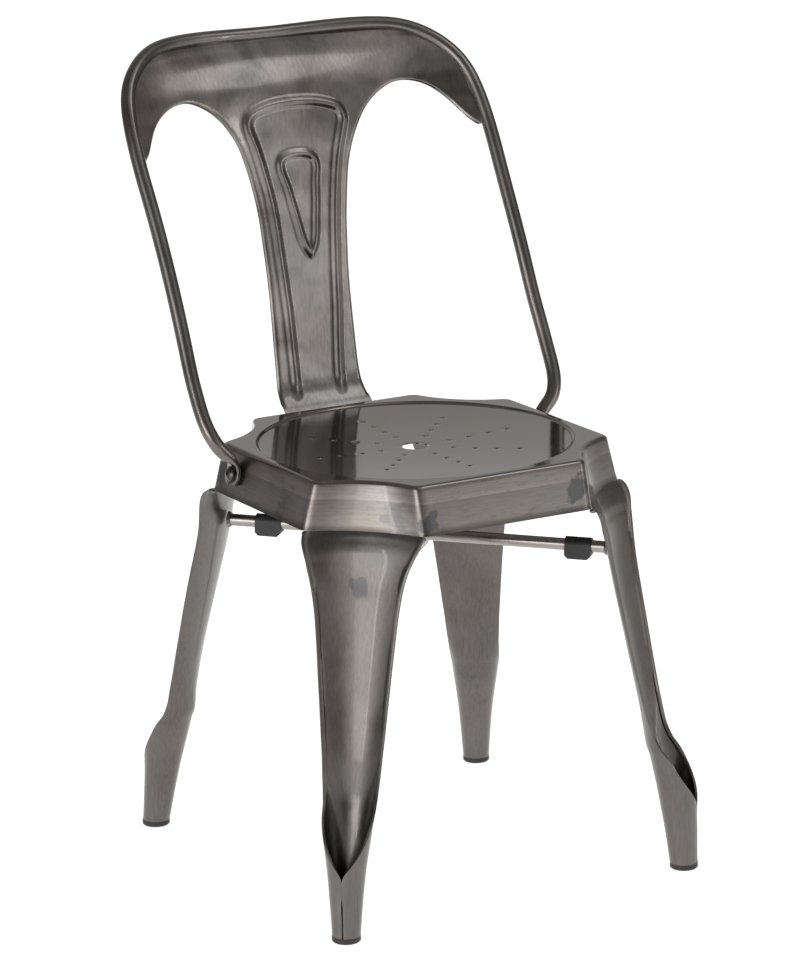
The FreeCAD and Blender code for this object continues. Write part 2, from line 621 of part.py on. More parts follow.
pierced.Tool = punches
doc.recompute()
pan = doc.addObject("Part::Cut", "seat_finished")
pan.Base = pierced
pan.Tool = ray_body
doc.recompute()
place(pan)
node(pan, "seat_pan")


# ----------------------------------------------------------------------- legs
def smooth(xs, ys):
    """Monotone cubic interpolation through the table."""
    n = len(xs)
    h = [xs[i + 1] - xs[i] for i in range(n - 1)]
    d = [(ys[i + 1] - ys[i]) / h[i] for i in range(n - 1)]
    m = [0.0] * n
    m[0], m[-1] = d[0], d[-1]
    for i in range(1, n - 1):
        if d[i - 1] * d[i] <= 0:
            m[i] = 0.0
        else:
            w1, w2 = 2 * h[i] + h[i - 1], h[i] + 2 * h[i - 1]
            m[i] = (w1 + w2) / (w1 / d[i - 1] + w2 / d[i])

    def at(x):
        x = min(max(x, xs[0]), xs[-1])
        i = 0
        while i < n - 2 and x > xs[i + 1]:
            i += 1
        t = (x - xs[i]) / h[i]
        return ((1 + 2 * t) * (1 - t) ** 2 * ys[i] + t * (1 - t) ** 2 * h[i] * m[i]
                + t * t * (3 - 2 * t) * ys[i + 1] + t * t * (t - 1) * h[i] * m[i + 1])
    return at


def leg_rows(open_keys, shut_keys):
    rows = []
    for keys in open_keys:
        drop, px, py, turn, w, h = [val(k) for k in keys]
        rad = (w * w / 4 + h * h) / (2 * h)
        phi = math.degrees(math.asin(min(1.0, (w / 2) / rad)))
        a = math.radians(turn)
        cx, cy = px + (rad - h) * math.cos(a), py + (rad - h) * math.sin(a)
        # belly point, curvature and developed half length describe a section
        rows.append((drop, cx - rad * math.cos(a), cy - rad * math.sin(a), turn, 1.0 / rad, rad * math.radians(phi)))
    for keys in shut_keys:
        drop, cx, cy, turn, rad, phi = [val(k) for k in keys]
        a = math.radians(turn)
        rows.append((drop, cx - rad * math.cos(a), cy - rad * math.sin(a), turn, 1.0 / rad, rad * math.radians(phi)))
    rows.sort()
    return rows


def leg_solid(rows, sx, sy):
    drops = [r[0] for r in rows]
    fx, fy, fa, fk, fl = [smooth(drops, [r[i] for r in rows]) for i in (1, 2, 3, 4, 5)]
    first, last, count = drops[0], drops[-1], 52
    outer_grid, inner_grid = [], []
    for q in range(count):
        d = first + (last - first) * q / (count - 1)
        bx, by, turn, k, half = fx(d), fy(d), fa(d), fk(d), fl(d)
        a = math.radians(turn)
        ux, uy = math.cos(a), math.sin(a)
        tx, ty = -uy, ux
        rad = 1.0 / k
        cx, cy = bx + rad * ux, by + rad * uy
        # the folded lip makes the sheet thicker towards the gutter side
        lip = 1.5 * min(1.0, max(0.0, (d - 50.0) / 16.0)) * min(1.0, max(0.0, (384.0 - d) / 20.0))
        outer, inner = [], []
        n = 19
        for i in range(n):
            # closer points near the rims
            s = half * (0.4 * math.sin(math.pi / 2 * (-1 + 2.0 * i / (n - 1))) + 0.6 * (-1 + 2.0 * i / (n - 1)))
            ph = s / rad
            e = half - abs(s)
            grow = lip * (0.5 + 0.5 * math.cos(math.pi * min(1.0, e / 6.0)))
            for lst, r in ((outer, rad + T / 2), (inner, rad - T / 2 - grow)):
                x = cx - r * math.cos(ph) * ux + r * math.sin(ph) * tx
                y = cy - r * math.cos(ph) * uy + r * math.sin(ph) * ty
                lst.append(Vector(sx * x, sy * y, -d))
        outer_grid.append(outer)
        inner_grid.append(inner)
    surfaces = []
    for g in (outer_grid, inner_grid):
        b = Part.BSplineSurface()
        b.interpolate(g)
        surfaces.append(b)
    so, si = surfaces
    u0, u1, v0, v1 = so.bounds()
    w0, w1, z0, z1 = si.bounds()
    faces = [so.toShape(), si.toShape()]
    for a_, b_ in ((so.uIso(u0), si.uIso(w0)), (so.uIso(u1), si.uIso(w1)), (so.vIso(v0), si.vIso(z0)), (so.vIso(v1), si.vIso(z1))):
        strip = Part.makeLoft([Part.Wire([a_.toShape()]), Part.Wire([b_.toShape()])], False, True)
        faces.extend(strip.Faces)
    shell = Part.makeShell(faces)
    shell.sewShape(0.001)
    if shell.ShapeType != "Shell":
        shell = shell.Shells[0]
    solid = Part.makeSolid(shell)
    if solid.Volume < 0:
        solid.reverse()
    return solid


front_rows = leg_rows(TABLES["fo"], TABLES["fs"])
rear_rows = leg_rows(TABLES["ro"], TABLES["rs"])
LEGS = {}
for name, rows, sx, sy in (("leg_front_left", front_rows, -1, -1), ("leg_front_right", front_rows, 1, -1),
                           ("leg_rear_left", rear_rows, -1, 1), ("leg_rear_right", rear_rows, 1, 1)):
    leg = doc.addObject("Part::Feature", name)
    leg.Shape = leg_solid(rows, sx, sy)
    place(leg)
    node(leg, name)
    LEGS[name] = leg

# ------------------------------------------------------------------------ hoop
LET = "abcdefghijklmnopqrstuvwxyz"
half = [Vector(*[val("hoop_%s_%spos" % (LET[i], a)) for a in "xyz"]) for i in range(len(HOOP))]
full = half + [Vector(-p.x, p.y, p.z) for p in half[:-1][::-1]]


def spline(points):
    c = Part.BSplineCurve()
    c.interpolate(points)
    return c


path = doc.addObject("Part::Feature", "hoop_path")
path.Shape = spline(full).toShape()
core_pts = full[2:-2]
core_path = doc.addObject("Part::Feature", "hoop_core_path")
core_path.Shape = spline(core_pts).toShape()


def section(obj, name, spine, radius_expr, radius):
    c = doc.addObject("Part::Circle", name)
    c.Radius = radius
    c.setExpression("Radius", radius_expr)
    e = spine.Shape.Edges[0]
    p = e.valueAt(e.FirstParameter)
    t = e.tangentAt(e.FirstParameter)
    c.Placement = Placement(p, Rotation(Vector(0, 0, 1), t))
    sw = doc.addObject("Part::Sweep", obj)
    sw.Sections = [c]
    sw.Spine = (spine, ["Edge1"])
    sw.Solid = True
    sw.Frenet = False
    c.recompute()
    sw.recompute()
    return sw


def pipe(name, spine, radius):
    """Round pipe along a spine that already lies in the document."""
    e = spine.Shape.Edges[0]
    p = e.valueAt(e.FirstParameter)
    t = e.tangentAt(e.FirstParameter)
    f = doc.addObject("Part::Feature", name)
    f.Shape = Part.Wire([e]).makePipeShell([Part.Wire([Part.makeCircle(radius, p, t)])], True, True)
    return f


tube = pipe("hoop_tube", path, val("tube_radius"))
core = pipe("hoop_core", core_path, val("tube_radius") - val("tube_wall"))

# flattened ends: a round eye plate against each side panel of the seat
NX = Vector(math.cos(math.radians(LEAN)), 0, math.sin(math.radians(LEAN)))
BOLT = Vector(H0 + SLOPE * val("bolt_drop"), val("bolt_y"), -val("bolt_drop"))
WASH = 1.5
ET = val("eye_thick")


def cyl(radius, p, d, length):
    return Part.makeCylinder(radius, length, p, d)


def mirror_x(shape):
    return shape.mirror(Vector(0, 0, 0), Vector(1, 0, 0))


eyes = []
p0 = BOLT + NX * (WASH + 0.15)
eye = cyl(val("eye_radius"), p0, NX, ET)
# neck from the round tube down to the flat eye
side = Vector(0, 1, 0)
down = Vector(0, 0, 0) - NX.cross(side)
if down.z > 0:
    down = down * -1
up_dir = down * -1


def neck_wire(centre, wide, thick, zdir, along):
    """Rounded slot outline of the given width and thickness."""
    pts = []
    n = 16
    for i in range(n):
        a = 2 * math.pi * i / n
        # superellipse keeps the same points for every section
        ca, sa = math.cos(a), math.sin(a)
        pw = 0.75
        u = wide * math.copysign(abs(ca) ** pw, ca)
        v = thick * math.copysign(abs(sa) ** pw, sa)
        pts.append(centre + side * u + zdir * v)
    c = Part.BSplineCurve()
    c.interpolate(pts, PeriodicFlag=True)
    return Part.Wire([c.toShape()])


ec = p0 + NX * (ET / 2)
t0 = spline(full).tangent(spline(full).FirstParameter)[0]
n0 = side.cross(t0)
n0.normalize()
if n0.x < 0:
    n0 = n0 * -1
start = full[0] + t0 * 1.5
secs = [neck_wire(ec + up_dir * 1.0, 11.4, ET / 2 - 0.02, NX, up_dir),
        neck_wire(ec + up_dir * 7.5, 10.6, ET / 2 + 0.2, NX, up_dir)]
mid_p = (ec + up_dir * 7.5) * 0.4 + start * 0.6
secs.append(neck_wire(mid_p, 9.0, 5.4, (NX * 0.4 + n0 * 0.6), up_dir))
secs.append(neck_wire(start, 8.3, 8.2, n0, up_dir))
secs.append(neck_wire(start + t0 * 4.0, 6.2, 6.2, n0, up_dir))
neck = Part.makeLoft(secs, True, False)
hole = cyl(val("bolt_hole"), p0 - NX * 3, NX, ET + 6)
end_r = eye.fuse(neck).cut(hole)
end_a = doc.addObject("Part::Feature", "hoop_end_right")
end_a.Shape = end_r
end_b = doc.addObject("Part::Feature", "hoop_end_left")
end_b.Shape = mirror_x(end_r)
hoop_full = doc.addObject("Part::MultiFuse", "hoop_joined")
hoop_full.Shapes = [tube, end_a, end_b]
hoop_full.Refine = False
hoop_full.recompute()
hoop = doc.addObject("Part::Cut", "hoop_hollow")
hoop.Base = hoop_full
hoop.Tool = core
place(hoop)
hoop.recompute()
print("hoop", hoop.Shape.isNull() or (hoop.Shape.isValid(), len(hoop.Shape.Solids), hoop.Shape.Volume))
node(hoop, "back_hoop")

# ------------------------------------------------------------------ back panel
PROFILE = [(-46, 189.2), (-28, 184.7), (-14, 181.6), (-5, 184.6), (4, 193.5), (12, 199.8), (18, 203.2),
           (50, 210), (82, 215), (125, 221.6), (179, 229), (217, 234), (247, 240), (290, 248.5),
           (331, 259), (360, 277), (378, 295.5), (388, 307.5), (396, 317.0)]
BOW = [(-46, 0), (200, 0.0), (230, 6), (260, 30), (283, 50), (320, 37), (345, 36), (356, 37), (373, 42),
       (380, 50), (390, 60), (396, 62)]
yc = smooth([p[0] for p in PROFILE], [p[1] for p in PROFILE])
yb = smooth([p[0] for p in BOW], [p[1] for p in BOW])

EDGE = [(54.0, -44.0), (54.0, -20.0), (53.4, -2.0), (52.2, 10.0), (51.0, 24.0), (50.3, 42.0), (50.0, 62.0), (49.6, 90.0),
        (49.5, 118.0), (50.2, 146.0), (51.6, 170.0), (53.5, 198.0), (56.0, 218.0), (58.9, 236.0), (62.4, 252.0),
        (66.4, 266.0), (71.6, 280.0), (78.5, 293.0), (86.0, 304.0), (95.0, 313.4), (105.0, 321.0),
        (116.0, 327.0), (127.0, 330.6), (137.0, 331.0), (148.0, 329.2), (159.0, 324.8), (170.0, 317.4),
        (180.0, 307.4), (188.0, 296.8), (196.0, 287.0), (203.0, 281.6), (209.0, 279.4)]
OUTER_RIB = [(25.0, 8.0), (25.6, 30.0), (28.0, 60.0), (31.5, 120.0), (35.0, 172.0), (39.7, 220.0), (45.4, 252.0),
             (51.0, 275.0), (55.8, 290.0), (57.8, 301.0), (53.6, 309.8), (43.0, 315.0), (28.0, 318.6), (12.0, 320.2), (0.0, 320.6)]
INNER_RIB = [(0.0, 151.0), (6.6, 163.0), (12.5, 188.0), (17.2, 214.0), (21.4, 236.0), (24.0, 248.0),
             (21.6, 256.8), (13.0, 261.4), (0.0, 262.8)]


def seg_dist(px, pz, poly):
    best = 1e9
    for (ax, az), (bx, bz) in zip(poly[:-1], poly[1:]):
        dx, dz = bx - ax, bz - az
        t = ((px - ax) * dx + (pz - az) * dz) / (dx * dx + dz * dz)
        t = min(1.0, max(0.0, t))
        best = min(best, math.hypot(px - ax - t * dx, pz - az - t * dz))
    return best


def bead(d, w):
    return 0.5 + 0.5 * math.cos(math.pi * min(1.0, d / w))


def panel_y(x, z):
    ax = abs(x)
    y = yc(z) - yb(z) * (ax / 212.0) ** 2.3
    fade = min(1.0, max(0.0, (z - 4.0) / 22.0))
    do = seg_dist(ax, z, OUTER_RIB)
    di = seg_dist(ax, z, INNER_RIB)
    rise = val("rib_height") * bead(do, 8.5) * fade + val("rib_inner") * bead(di, 6.5)
    # the field between the ribs is pressed slightly back
    return y - rise


NXG, NZG = 73, 105
X0, X1, Z0, Z1 = -216.0, 216.0, -45.0, 394.0
grid = []
for i in range(NXG):
    x = X0 + (X1 - X0) * i / (NXG - 1)
    grid.append([Vector(x, panel_y(x, Z0 + (Z1 - Z0) * j / (NZG - 1)), Z0 + (Z1 - Z0) * j / (NZG - 1)) for j in range(NZG)])
surf = Part.BSplineSurface()
surf.interpolate(grid)
slab = surf.toShape().extrude(Vector(0, val("panel_thick"), 0))

# outline of the pressing, seen from the front: splat, two arches, crescent
edge_r = [Vector(x, 0, z) for x, z in EDGE]
edge_l = [Vector(-x, 0, z) for x, z in EDGE]
hoop_in = []
for p in half[12:]:
    hoop_in.append(Vector(p.x, 0, p.z))
hoop_in[0] = Vector(209.0, 0, 279.4)
hoop_in = [p for p in hoop_in if p.z > 279.0]
top_line = hoop_in + [Vector(-p.x, 0, p.z) for p in hoop_in[:-1][::-1]]
c_right = spline(edge_r[2:]).toShape()
c_top = spline(top_line).toShape()
c_left = spline(edge_l[2:]).toShape()
low = [Vector(-53.4, 0, -2.0), Vector(-54.0, 0, -42.0), Vector(54.0, 0, -42.0), Vector(53.4, 0, -2.0)]
lines = [Part.LineSegment(low[i], low[i + 1]).toShape() for i in range(3)]
outline = Part.Wire(Part.__sortEdges__([c_right, c_top, c_left] + lines))
prism = Part.Face(outline).extrude(Vector(0, 500, 0))
panel = slab.common(prism)
grow = Part.Wire([spline(full[10:-10]).toShape()])
e = grow.Edges[0]
pp, tt = e.valueAt(e.FirstParameter), e.tangentAt(e.FirstParameter)
ring = Part.Wire([Part.makeCircle(val("tube_radius") + 0.15, pp, tt)])
tube_cut = grow.makePipeShell([ring], True, True)
panel = panel.cut(tube_cut)
for sgn in (1, -1):
    panel = panel.cut(cyl(val("rivet_hole"), Vector(sgn * val("rivet_x"), 150, -val("rivet_drop")), Vector(0, 1, 0), 80))
solids = sorted(panel.Solids, key=lambda s: -s.Volume)
back = doc.addObject("Part::Feature", "back_panel")
back.Shape = solids[0]
place(back)
node(back, "back_panel")

# ------------------------------------------------------- hoop bolts and rivets
def hexagon(p, d, flat, length):
    x = Vector(0, 1, 0)
    y = d.cross(x)
    y.normalize()
    r = flat / math.sqrt(3)
    pts = [p + x * (r * math.cos(math.radians(60 * i))) + y * (r * math.sin(math.radians(60 * i))) for i in range(7)]
    return Part.Face(Part.makePolygon(pts)).extrude(d * length)


HEAD = p0 + NX * (ET + 1.1)
shank_in = BOLT - NX * 9.5
shank = cyl(val("bolt_radius"), shank_in, NX, (HEAD - shank_in).dot(NX) + 0.5)
dome = Part.makeSphere(9.2, HEAD - NX * 4.6).common(cyl(7.6, HEAD, NX, 6))
bolt = shank.fuse(dome).cut(hexagon(HEAD + NX * 1.6, NX, 4.0, 6))
bolts = doc.addObject("Part::Feature", "hoop_bolts")
bolts.Shape = Part.makeCompound([bolt, mirror_x(bolt)])
place(bolts)
node(bolts, "hoop_bolts")


def ring_at(p, d, r1, r2, length):
    return cyl(r1, p, d, length).cut(cyl(r2, p - d, d, length + 2))


w_out = ring_at(p0 + NX * (ET + 0.05), NX, 8.6, val("bolt_hole"), 1.0)
w_mid = ring_at(BOLT + NX * 0.1, NX, 10.2, val("bolt_hole"), WASH)
w_in = ring_at(BOLT - NX * (T + 0.2 + 1.2), NX, 7.8, val("bolt_hole"), 1.2)
for nm, w in (("hoop_washers", w_out), ("hoop_spacers", w_mid), ("hoop_inner_washers", w_in)):
    f = doc.addObject("Part::Feature", nm)
    f.Shape = Part.makeCompound([w, mirror_x(w)])
    place(f)
    node(f, nm)
nut = hexagon(BOLT - NX * (T + 0.3 + 1.2 + 5.0), NX, 10.0, 5.0).cut(cyl(val("bolt_radius") + 0.05, BOLT - NX * 20, NX, 25))
nuts = doc.addObject("Part::Feature", "hoop_nuts")
nuts.Shape = Part.makeCompound([nut, mirror_x(nut)])
place(nuts)
node(nuts, "hoop_nuts")

NY = Vector(0, math.cos(math.radians(LEAN)), math.sin(math.radians(LEAN)))
riv = []
for sgn in (1, -1):
    base = Vector(sgn * val("rivet_x"), H0 + SLOPE * val("rivet_drop"), -val("rivet_drop"))
    back_y = panel_y(0, -val("rivet_drop")) + val("panel_thick")
    a = Vector(sgn * val("rivet_x"), base.y - T - 1.9, -val("rivet_drop"))
    sh = cyl(val("rivet_radius"), a, Vector(0, 1, 0), back_y + 1.9 - a.y)
    h_out = Part.makeSphere(6.4, Vector(a.x, back_y + 0.75 - 4.6, a.z)).common(cyl(4.6, Vector(a.x, back_y + 0.75, a.z), Vector(0, 1, 0), 4))
    h_in = cyl(4.0, Vector(a.x, base.y - T - 2.6, a.z), Vector(0, 1, 0), 1.0)
    riv.append(sh.fuse([h_out, h_in]).removeSplitter())
rivets = doc.addObject("Part::Feature", "splat_rivets")
rivets.Shape = Part.makeCompound(riv)
place(rivets)
node(rivets, "splat_rivets")

# ------------------------------------------------------------------ brace bars
# upper bar: rear left to front right, straight
hp = doc.addObject("Part::Feature", "upper_bar_path")
hp.Shape = Part.Wire([Part.LineSegment(diag(FS, FD, 1, -1), diag(RS, RDp, -1, 1)).toShape()])
ub = section("upper_bar", "upper_bar_section", hp, "dims.bar_radius", val("bar_radius"))
place(ub)
node(ub, "brace_bar_upper")
# lower bar: front left to rear right, set down in the middle to pass below
lp = doc.addObject("Part::Feature", "lower_bar_path")
pts = []
for s in (-FS, -150.0, -100.0, -74.0, -56.0, -40.0, -22.0, 0.0, 22.0, 40.0, 56.0, 74.0, 100.0, 150.0, RS):
    a = abs(s)
    k = 1.0 if a <= 22 else (0.0 if a >= 74 else 0.5 + 0.5 * math.cos(math.pi * (a - 22) / 52.0))
    p = Vector(s * D2, s * D2, -drop_at(s) - val("joggle_drop") * k)
    pts.append(p)
lp.Shape = Part.Wire([spline(pts).toShape()])
lb = section("lower_bar", "lower_bar_section", lp, "dims.bar_radius", val("bar_radius"))
place(lb)
node(lb, "brace_bar_lower")

# weld collars where the bars meet the legs
for name, sx, sy in (("brace_collar_front_left", -1, -1), ("brace_collar_front_right", 1, -1),
                     ("brace_collar_rear_left", -1, 1), ("brace_collar_rear_right", 1, 1)):
    f = doc.addObject("Part::Feature", name)
    if sy < 0:
        a, b = diag(FS, FD, sx, sy), diag(FS - 10, drop_at(-FS + 10), sx, sy)
    else:
        a, b = diag(RS, RDp, sx, sy), diag(RS - 10, drop_at(RS - 10), sx, sy)
    d = b - a
    d.normalize()
    c1 = Part.makeCone(val("bar_radius") + 2.6, val("bar_radius") + 1.0, 3.4, a, d)
    f.Shape = c1.cut(cyl(val("bar_radius") + 0.05, a - d * 2, d, 8))
    place(f)
    node(f, name)

# weld beads at the lower ends of the corner panels of the seat
beads = []
for sx in (-1, 1):
    for sy in (-1, 1):
        for a, b in ((H1 - 1.4, C1 + 2.0), (C1 + 2.0, H1 - 1.4)):
            ball = Part.makeSphere(3.0)
            m = FreeCAD.Matrix()
            m.scale(1.2, 1.2, 0.8)
            ball = ball.transformGeometry(m)
            ball.translate(Vector(sx * a, sy * b, -DROP - 2.5))
            beads.append(ball)
welds = doc.addObject("Part::Feature", "corner_welds")
welds.Shape = Part.makeCompound(beads)
place(welds)
node(welds, "corner_welds")

doc.recompute()

# ---------------------------------------------------------------- check, write
for o in doc.Objects:
    bad = [s for s in o.State if s in ("Invalid", "Error")]
    if bad:
        raise RuntimeError("%s is %s" % (o.Label, bad))
os.makedirs("parts", exist_ok=True)
lo, hi = [1e9] * 3, [-1e9] * 3
for name, obj in NODES:
    sh = obj.Shape
    if sh.isNull():
        raise RuntimeError("%s is null" % name)
    if not sh.isValid():
        raise RuntimeError("%s is not valid" % name)
    if not sh.Solids:
        raise RuntimeError("%s has no solid" % name)
    bb = sh.BoundBox
    for k, (a, b) in enumerate(((bb.XMin, bb.XMax), (bb.YMin, bb.YMax), (bb.ZMin, bb.ZMax))):
        lo[k], hi[k] = min(lo[k], a), max(hi[k], b)
    print("%-24s solids %2d volume %10.1f  z %7.1f..%7.1f" % (name, len(sh.Solids), sh.Volume, bb.ZMin, bb.ZMax))
    sh.exportStep("parts/%s.step" % name)
print("bounds", [round(v, 2) for v in lo], [round(v, 2) for v in hi])
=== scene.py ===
import math

import bmesh
import bpy
import numpy as np
from mathutils import Matrix, Vector
from mathutils.geometry import delaunay_2d_cdt


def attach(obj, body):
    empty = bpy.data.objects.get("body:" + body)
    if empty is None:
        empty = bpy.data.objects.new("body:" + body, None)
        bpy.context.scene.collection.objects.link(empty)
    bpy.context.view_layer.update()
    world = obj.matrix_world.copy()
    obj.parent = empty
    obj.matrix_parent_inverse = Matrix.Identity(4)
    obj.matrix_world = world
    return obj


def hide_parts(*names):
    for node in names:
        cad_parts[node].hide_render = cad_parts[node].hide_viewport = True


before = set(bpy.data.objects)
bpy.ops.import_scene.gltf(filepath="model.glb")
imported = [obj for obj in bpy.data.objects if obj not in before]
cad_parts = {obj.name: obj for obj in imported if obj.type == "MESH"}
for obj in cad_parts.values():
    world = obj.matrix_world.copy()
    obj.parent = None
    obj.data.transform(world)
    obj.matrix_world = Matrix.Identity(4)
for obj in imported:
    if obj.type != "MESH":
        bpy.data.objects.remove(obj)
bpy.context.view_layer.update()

# ------------------------------------------------------------------ numbers
# millimetres, heights from the rim plane of the seat, as in the CAD source
SHIFT = 49.36
RIM = 452.1
WALL = 1.5


def row(p):
    """Local millimetres to the row frame in metres."""
    p = np.asarray(p, float)
    return (p - np.array([0.0, SHIFT, -RIM])) / 1000.0


def pchip(xs, ys):
    """Monotone cubic through a table, for arrays or numbers."""
    xs = np.asarray(xs, float)
    ys = np.asarray(ys, float)
    h = np.diff(xs)
    d = np.diff(ys) / h
    m = np.zeros(len(xs))
    m[0], m[-1] = d[0], d[-1]
    for i in range(1, len(xs) - 1):
        if d[i - 1] * d[i] > 0:
            w1, w2 = 2 * h[i] + h[i - 1], h[i] + 2 * h[i - 1]
            m[i] = (w1 + w2) / (w1 / d[i - 1] + w2 / d[i])

    def at(x):
        x = np.clip(np.asarray(x, float), xs[0], xs[-1])
        i = np.clip(np.searchsorted(xs, x, side="right") - 1, 0, len(xs) - 2)
        t = (x - xs[i]) / h[i]
        return ((1 + 2 * t) * (1 - t) ** 2 * ys[i] + t * (1 - t) ** 2 * h[i] * m[i]
                + t * t * (3 - 2 * t) * ys[i + 1] + t * t * (t - 1) * h[i] * m[i + 1])
    return at


def catmull(points, n):
    """Smooth curve through points (natural cubic by chord length), n samples."""
    P = np.asarray(points, float)
    s = np.r_[0, np.cumsum(np.linalg.norm(np.diff(P, axis=0), axis=1))]
    N = len(P)
    h = np.diff(s)
    A = np.zeros((N, N))
    B = np.zeros((N, P.shape[1]))
    A[0, 0] = A[-1, -1] = 1
    for i in range(1, N - 1):
        A[i, i - 1], A[i, i], A[i, i + 1] = h[i - 1], 2 * (h[i - 1] + h[i]), h[i]
        B[i] = 6 * ((P[i + 1] - P[i]) / h[i] - (P[i] - P[i - 1]) / h[i - 1])
    M = np.linalg.solve(A, B)
    t = np.linspace(0, s[-1], n)
    k = np.clip(np.searchsorted(s, t, side="right") - 1, 0, N - 2)
    a = (s[k + 1] - t)[:, None]
    b = (t - s[k])[:, None]
    hh = h[k][:, None]
    return (M[k] * a ** 3 / (6 * hh) + M[k + 1] * b ** 3 / (6 * hh)
            + (P[k] / hh - M[k] * hh / 6) * a + (P[k + 1] / hh - M[k + 1] * hh / 6) * b)


def mesh_piece(name, verts, faces, angle=35.0, uv=None):
    """Mesh object from local millimetres, smooth shaded with sharp edges kept."""
    me = bpy.data.meshes.new(name)
    me.from_pydata([tuple(v) for v in row(verts)], [], [tuple(int(i) for i in f) for f in faces])
    me.validate()
    bm = bmesh.new()
    bm.from_mesh(me)
    bmesh.ops.remove_doubles(bm, verts=bm.verts, dist=1e-7)
    bmesh.ops.recalc_face_normals(bm, faces=bm.faces)
    bm.to_mesh(me)
    bm.free()
    for p in me.polygons:
        p.use_smooth = True
    me.set_sharp_from_angle(angle=math.radians(angle))
    ob = bpy.data.objects.new(name, me)
    bpy.context.collection.objects.link(ob)
    return ob


def grid_faces(rows, cols, close_cols=False, off=0):
    out = []
    cc = cols if close_cols else cols - 1
    for i in range(rows - 1):
        for j in range(cc):
            a = off + i * cols + j
            b = off + i * cols + (j + 1) % cols
            out.append((a, b, b + cols, a + cols))
    return out


# --------------------------------------------------------------------- legs
FRONT_OPEN = [
    (49.3, 144.4, 144.1, 45.0, 125.5, 12.0), (53.0, 147.6, 146.9, 45.2, 125.5, 13.8),
    (57.0, 149.6, 148.3, 45.4, 124.5, 14.4), (63.0, 151.6, 149.3, 45.8, 121.0, 13.6),
    (70.0, 152.9, 149.4, 46.4, 115.5, 12.0), (78.0, 153.8, 149.1, 46.8, 109.6, 10.8),
    (84.0, 154.9, 149.3, 47.0, 105.5, 10.3), (98.0, 156.6, 150.6, 47.1, 97.8, 10.3),
    (115.0, 158.3, 152.4, 47.3, 91.2, 10.5), (130.0, 160.0, 154.2, 47.4, 86.8, 10.5),
    (160.0, 163.9, 158.2, 47.6, 81.0, 10.5), (190.0, 168.1, 162.4, 47.6, 76.0, 10.5),
    (220.0, 172.2, 166.8, 47.4, 71.0, 10.7), (250.0, 176.5, 171.4, 47.0, 66.2, 11.2),
    (275.0, 180.4, 175.6, 46.6, 62.0, 12.4), (297.0, 184.4, 179.8, 46.2, 58.4, 15.0),
]
REAR_OPEN = [
    (49.3, 144.8, 145.1, 45.0, 125.5, 12.0), (53.0, 148.8, 149.4, 45.1, 125.5, 14.0),
    (57.0, 150.8, 152.0, 45.3, 124.0, 14.8), (63.0, 152.1, 153.9, 45.7, 120.0, 14.2),
    (70.0, 152.9, 155.2, 46.4, 114.5, 13.0), (78.0, 153.3, 156.3, 47.0, 108.8, 12.0),
    (84.0, 153.6, 157.0, 47.4, 105.2, 11.4), (94.0, 154.2, 158.4, 48.0, 99.0, 10.8),
    (105.0, 155.2, 159.9, 48.8, 94.5, 10.5), (130.0, 158.6, 164.8, 50.2, 88.5, 10.5),
    (160.0, 163.1, 171.3, 51.6, 81.6, 10.5), (190.0, 167.6, 177.6, 52.2, 75.8, 10.5),
    (225.0, 172.9, 184.4, 52.4, 69.2, 10.7), (250.0, 176.6, 189.2, 52.8, 64.8, 11.2),
    (275.0, 180.4, 193.9, 53.2, 60.4, 12.4), (297.0, 184.0, 198.2, 53.0, 57.2, 15.0),
]
FRONT_SHUT = [
    (315.0, 195.4, 191.9, 46.0, 28.6, 74.0), (328.0, 196.6, 193.0, 46.0, 26.2, 90.0),
    (342.0, 197.5, 193.8, 46.0, 24.2, 107.0), (355.0, 198.2, 194.2, 45.8, 22.4, 126.0),
    (368.0, 198.9, 194.5, 45.6, 20.6, 150.0), (382.0, 199.6, 194.9, 45.4, 18.9, 176.6),
    (414.0, 201.6, 196.8, 45.0, 16.1, 177.2), (446.1, 203.3, 198.5, 45.0, 13.9, 177.2),
]
REAR_SHUT = [
    (315.0, 193.2, 209.5, 53.0, 28.6, 74.0), (328.0, 194.2, 211.4, 52.8, 26.2, 90.0),
    (342.0, 195.1, 213.1, 52.4, 24.2, 107.0), (355.0, 196.0, 214.8, 52.0, 22.4, 126.0),
    (368.0, 196.9, 216.6, 51.6, 20.6, 150.0), (382.0, 197.9, 218.5, 51.2, 18.9, 176.6),
    (414.0, 200.4, 223.0, 50.8, 16.1, 177.2), (446.1, 203.1, 227.4, 50.6, 13.9, 177.2),
]


def leg_table(opened, shut):
    rows_ = []
    for drop, px, py, turn, w, h in opened:
        rad = (w * w / 4 + h * h) / (2 * h)
        phi = math.asin(min(1.0, (w / 2) / rad))
        a = math.radians(turn)
        cx, cy = px + (rad - h) * math.cos(a), py + (rad - h) * math.sin(a)
        rows_.append((drop, cx - rad * math.cos(a), cy - rad * math.sin(a), turn, 1.0 / rad, rad * phi))
    for drop, cx, cy, turn, rad, phi in shut:
        a = math.radians(turn)
        rows_.append((drop, cx - rad * math.cos(a), cy - rad * math.sin(a), turn, 1.0 / rad, rad * math.radians(phi)))
    return np.array(sorted(rows_))


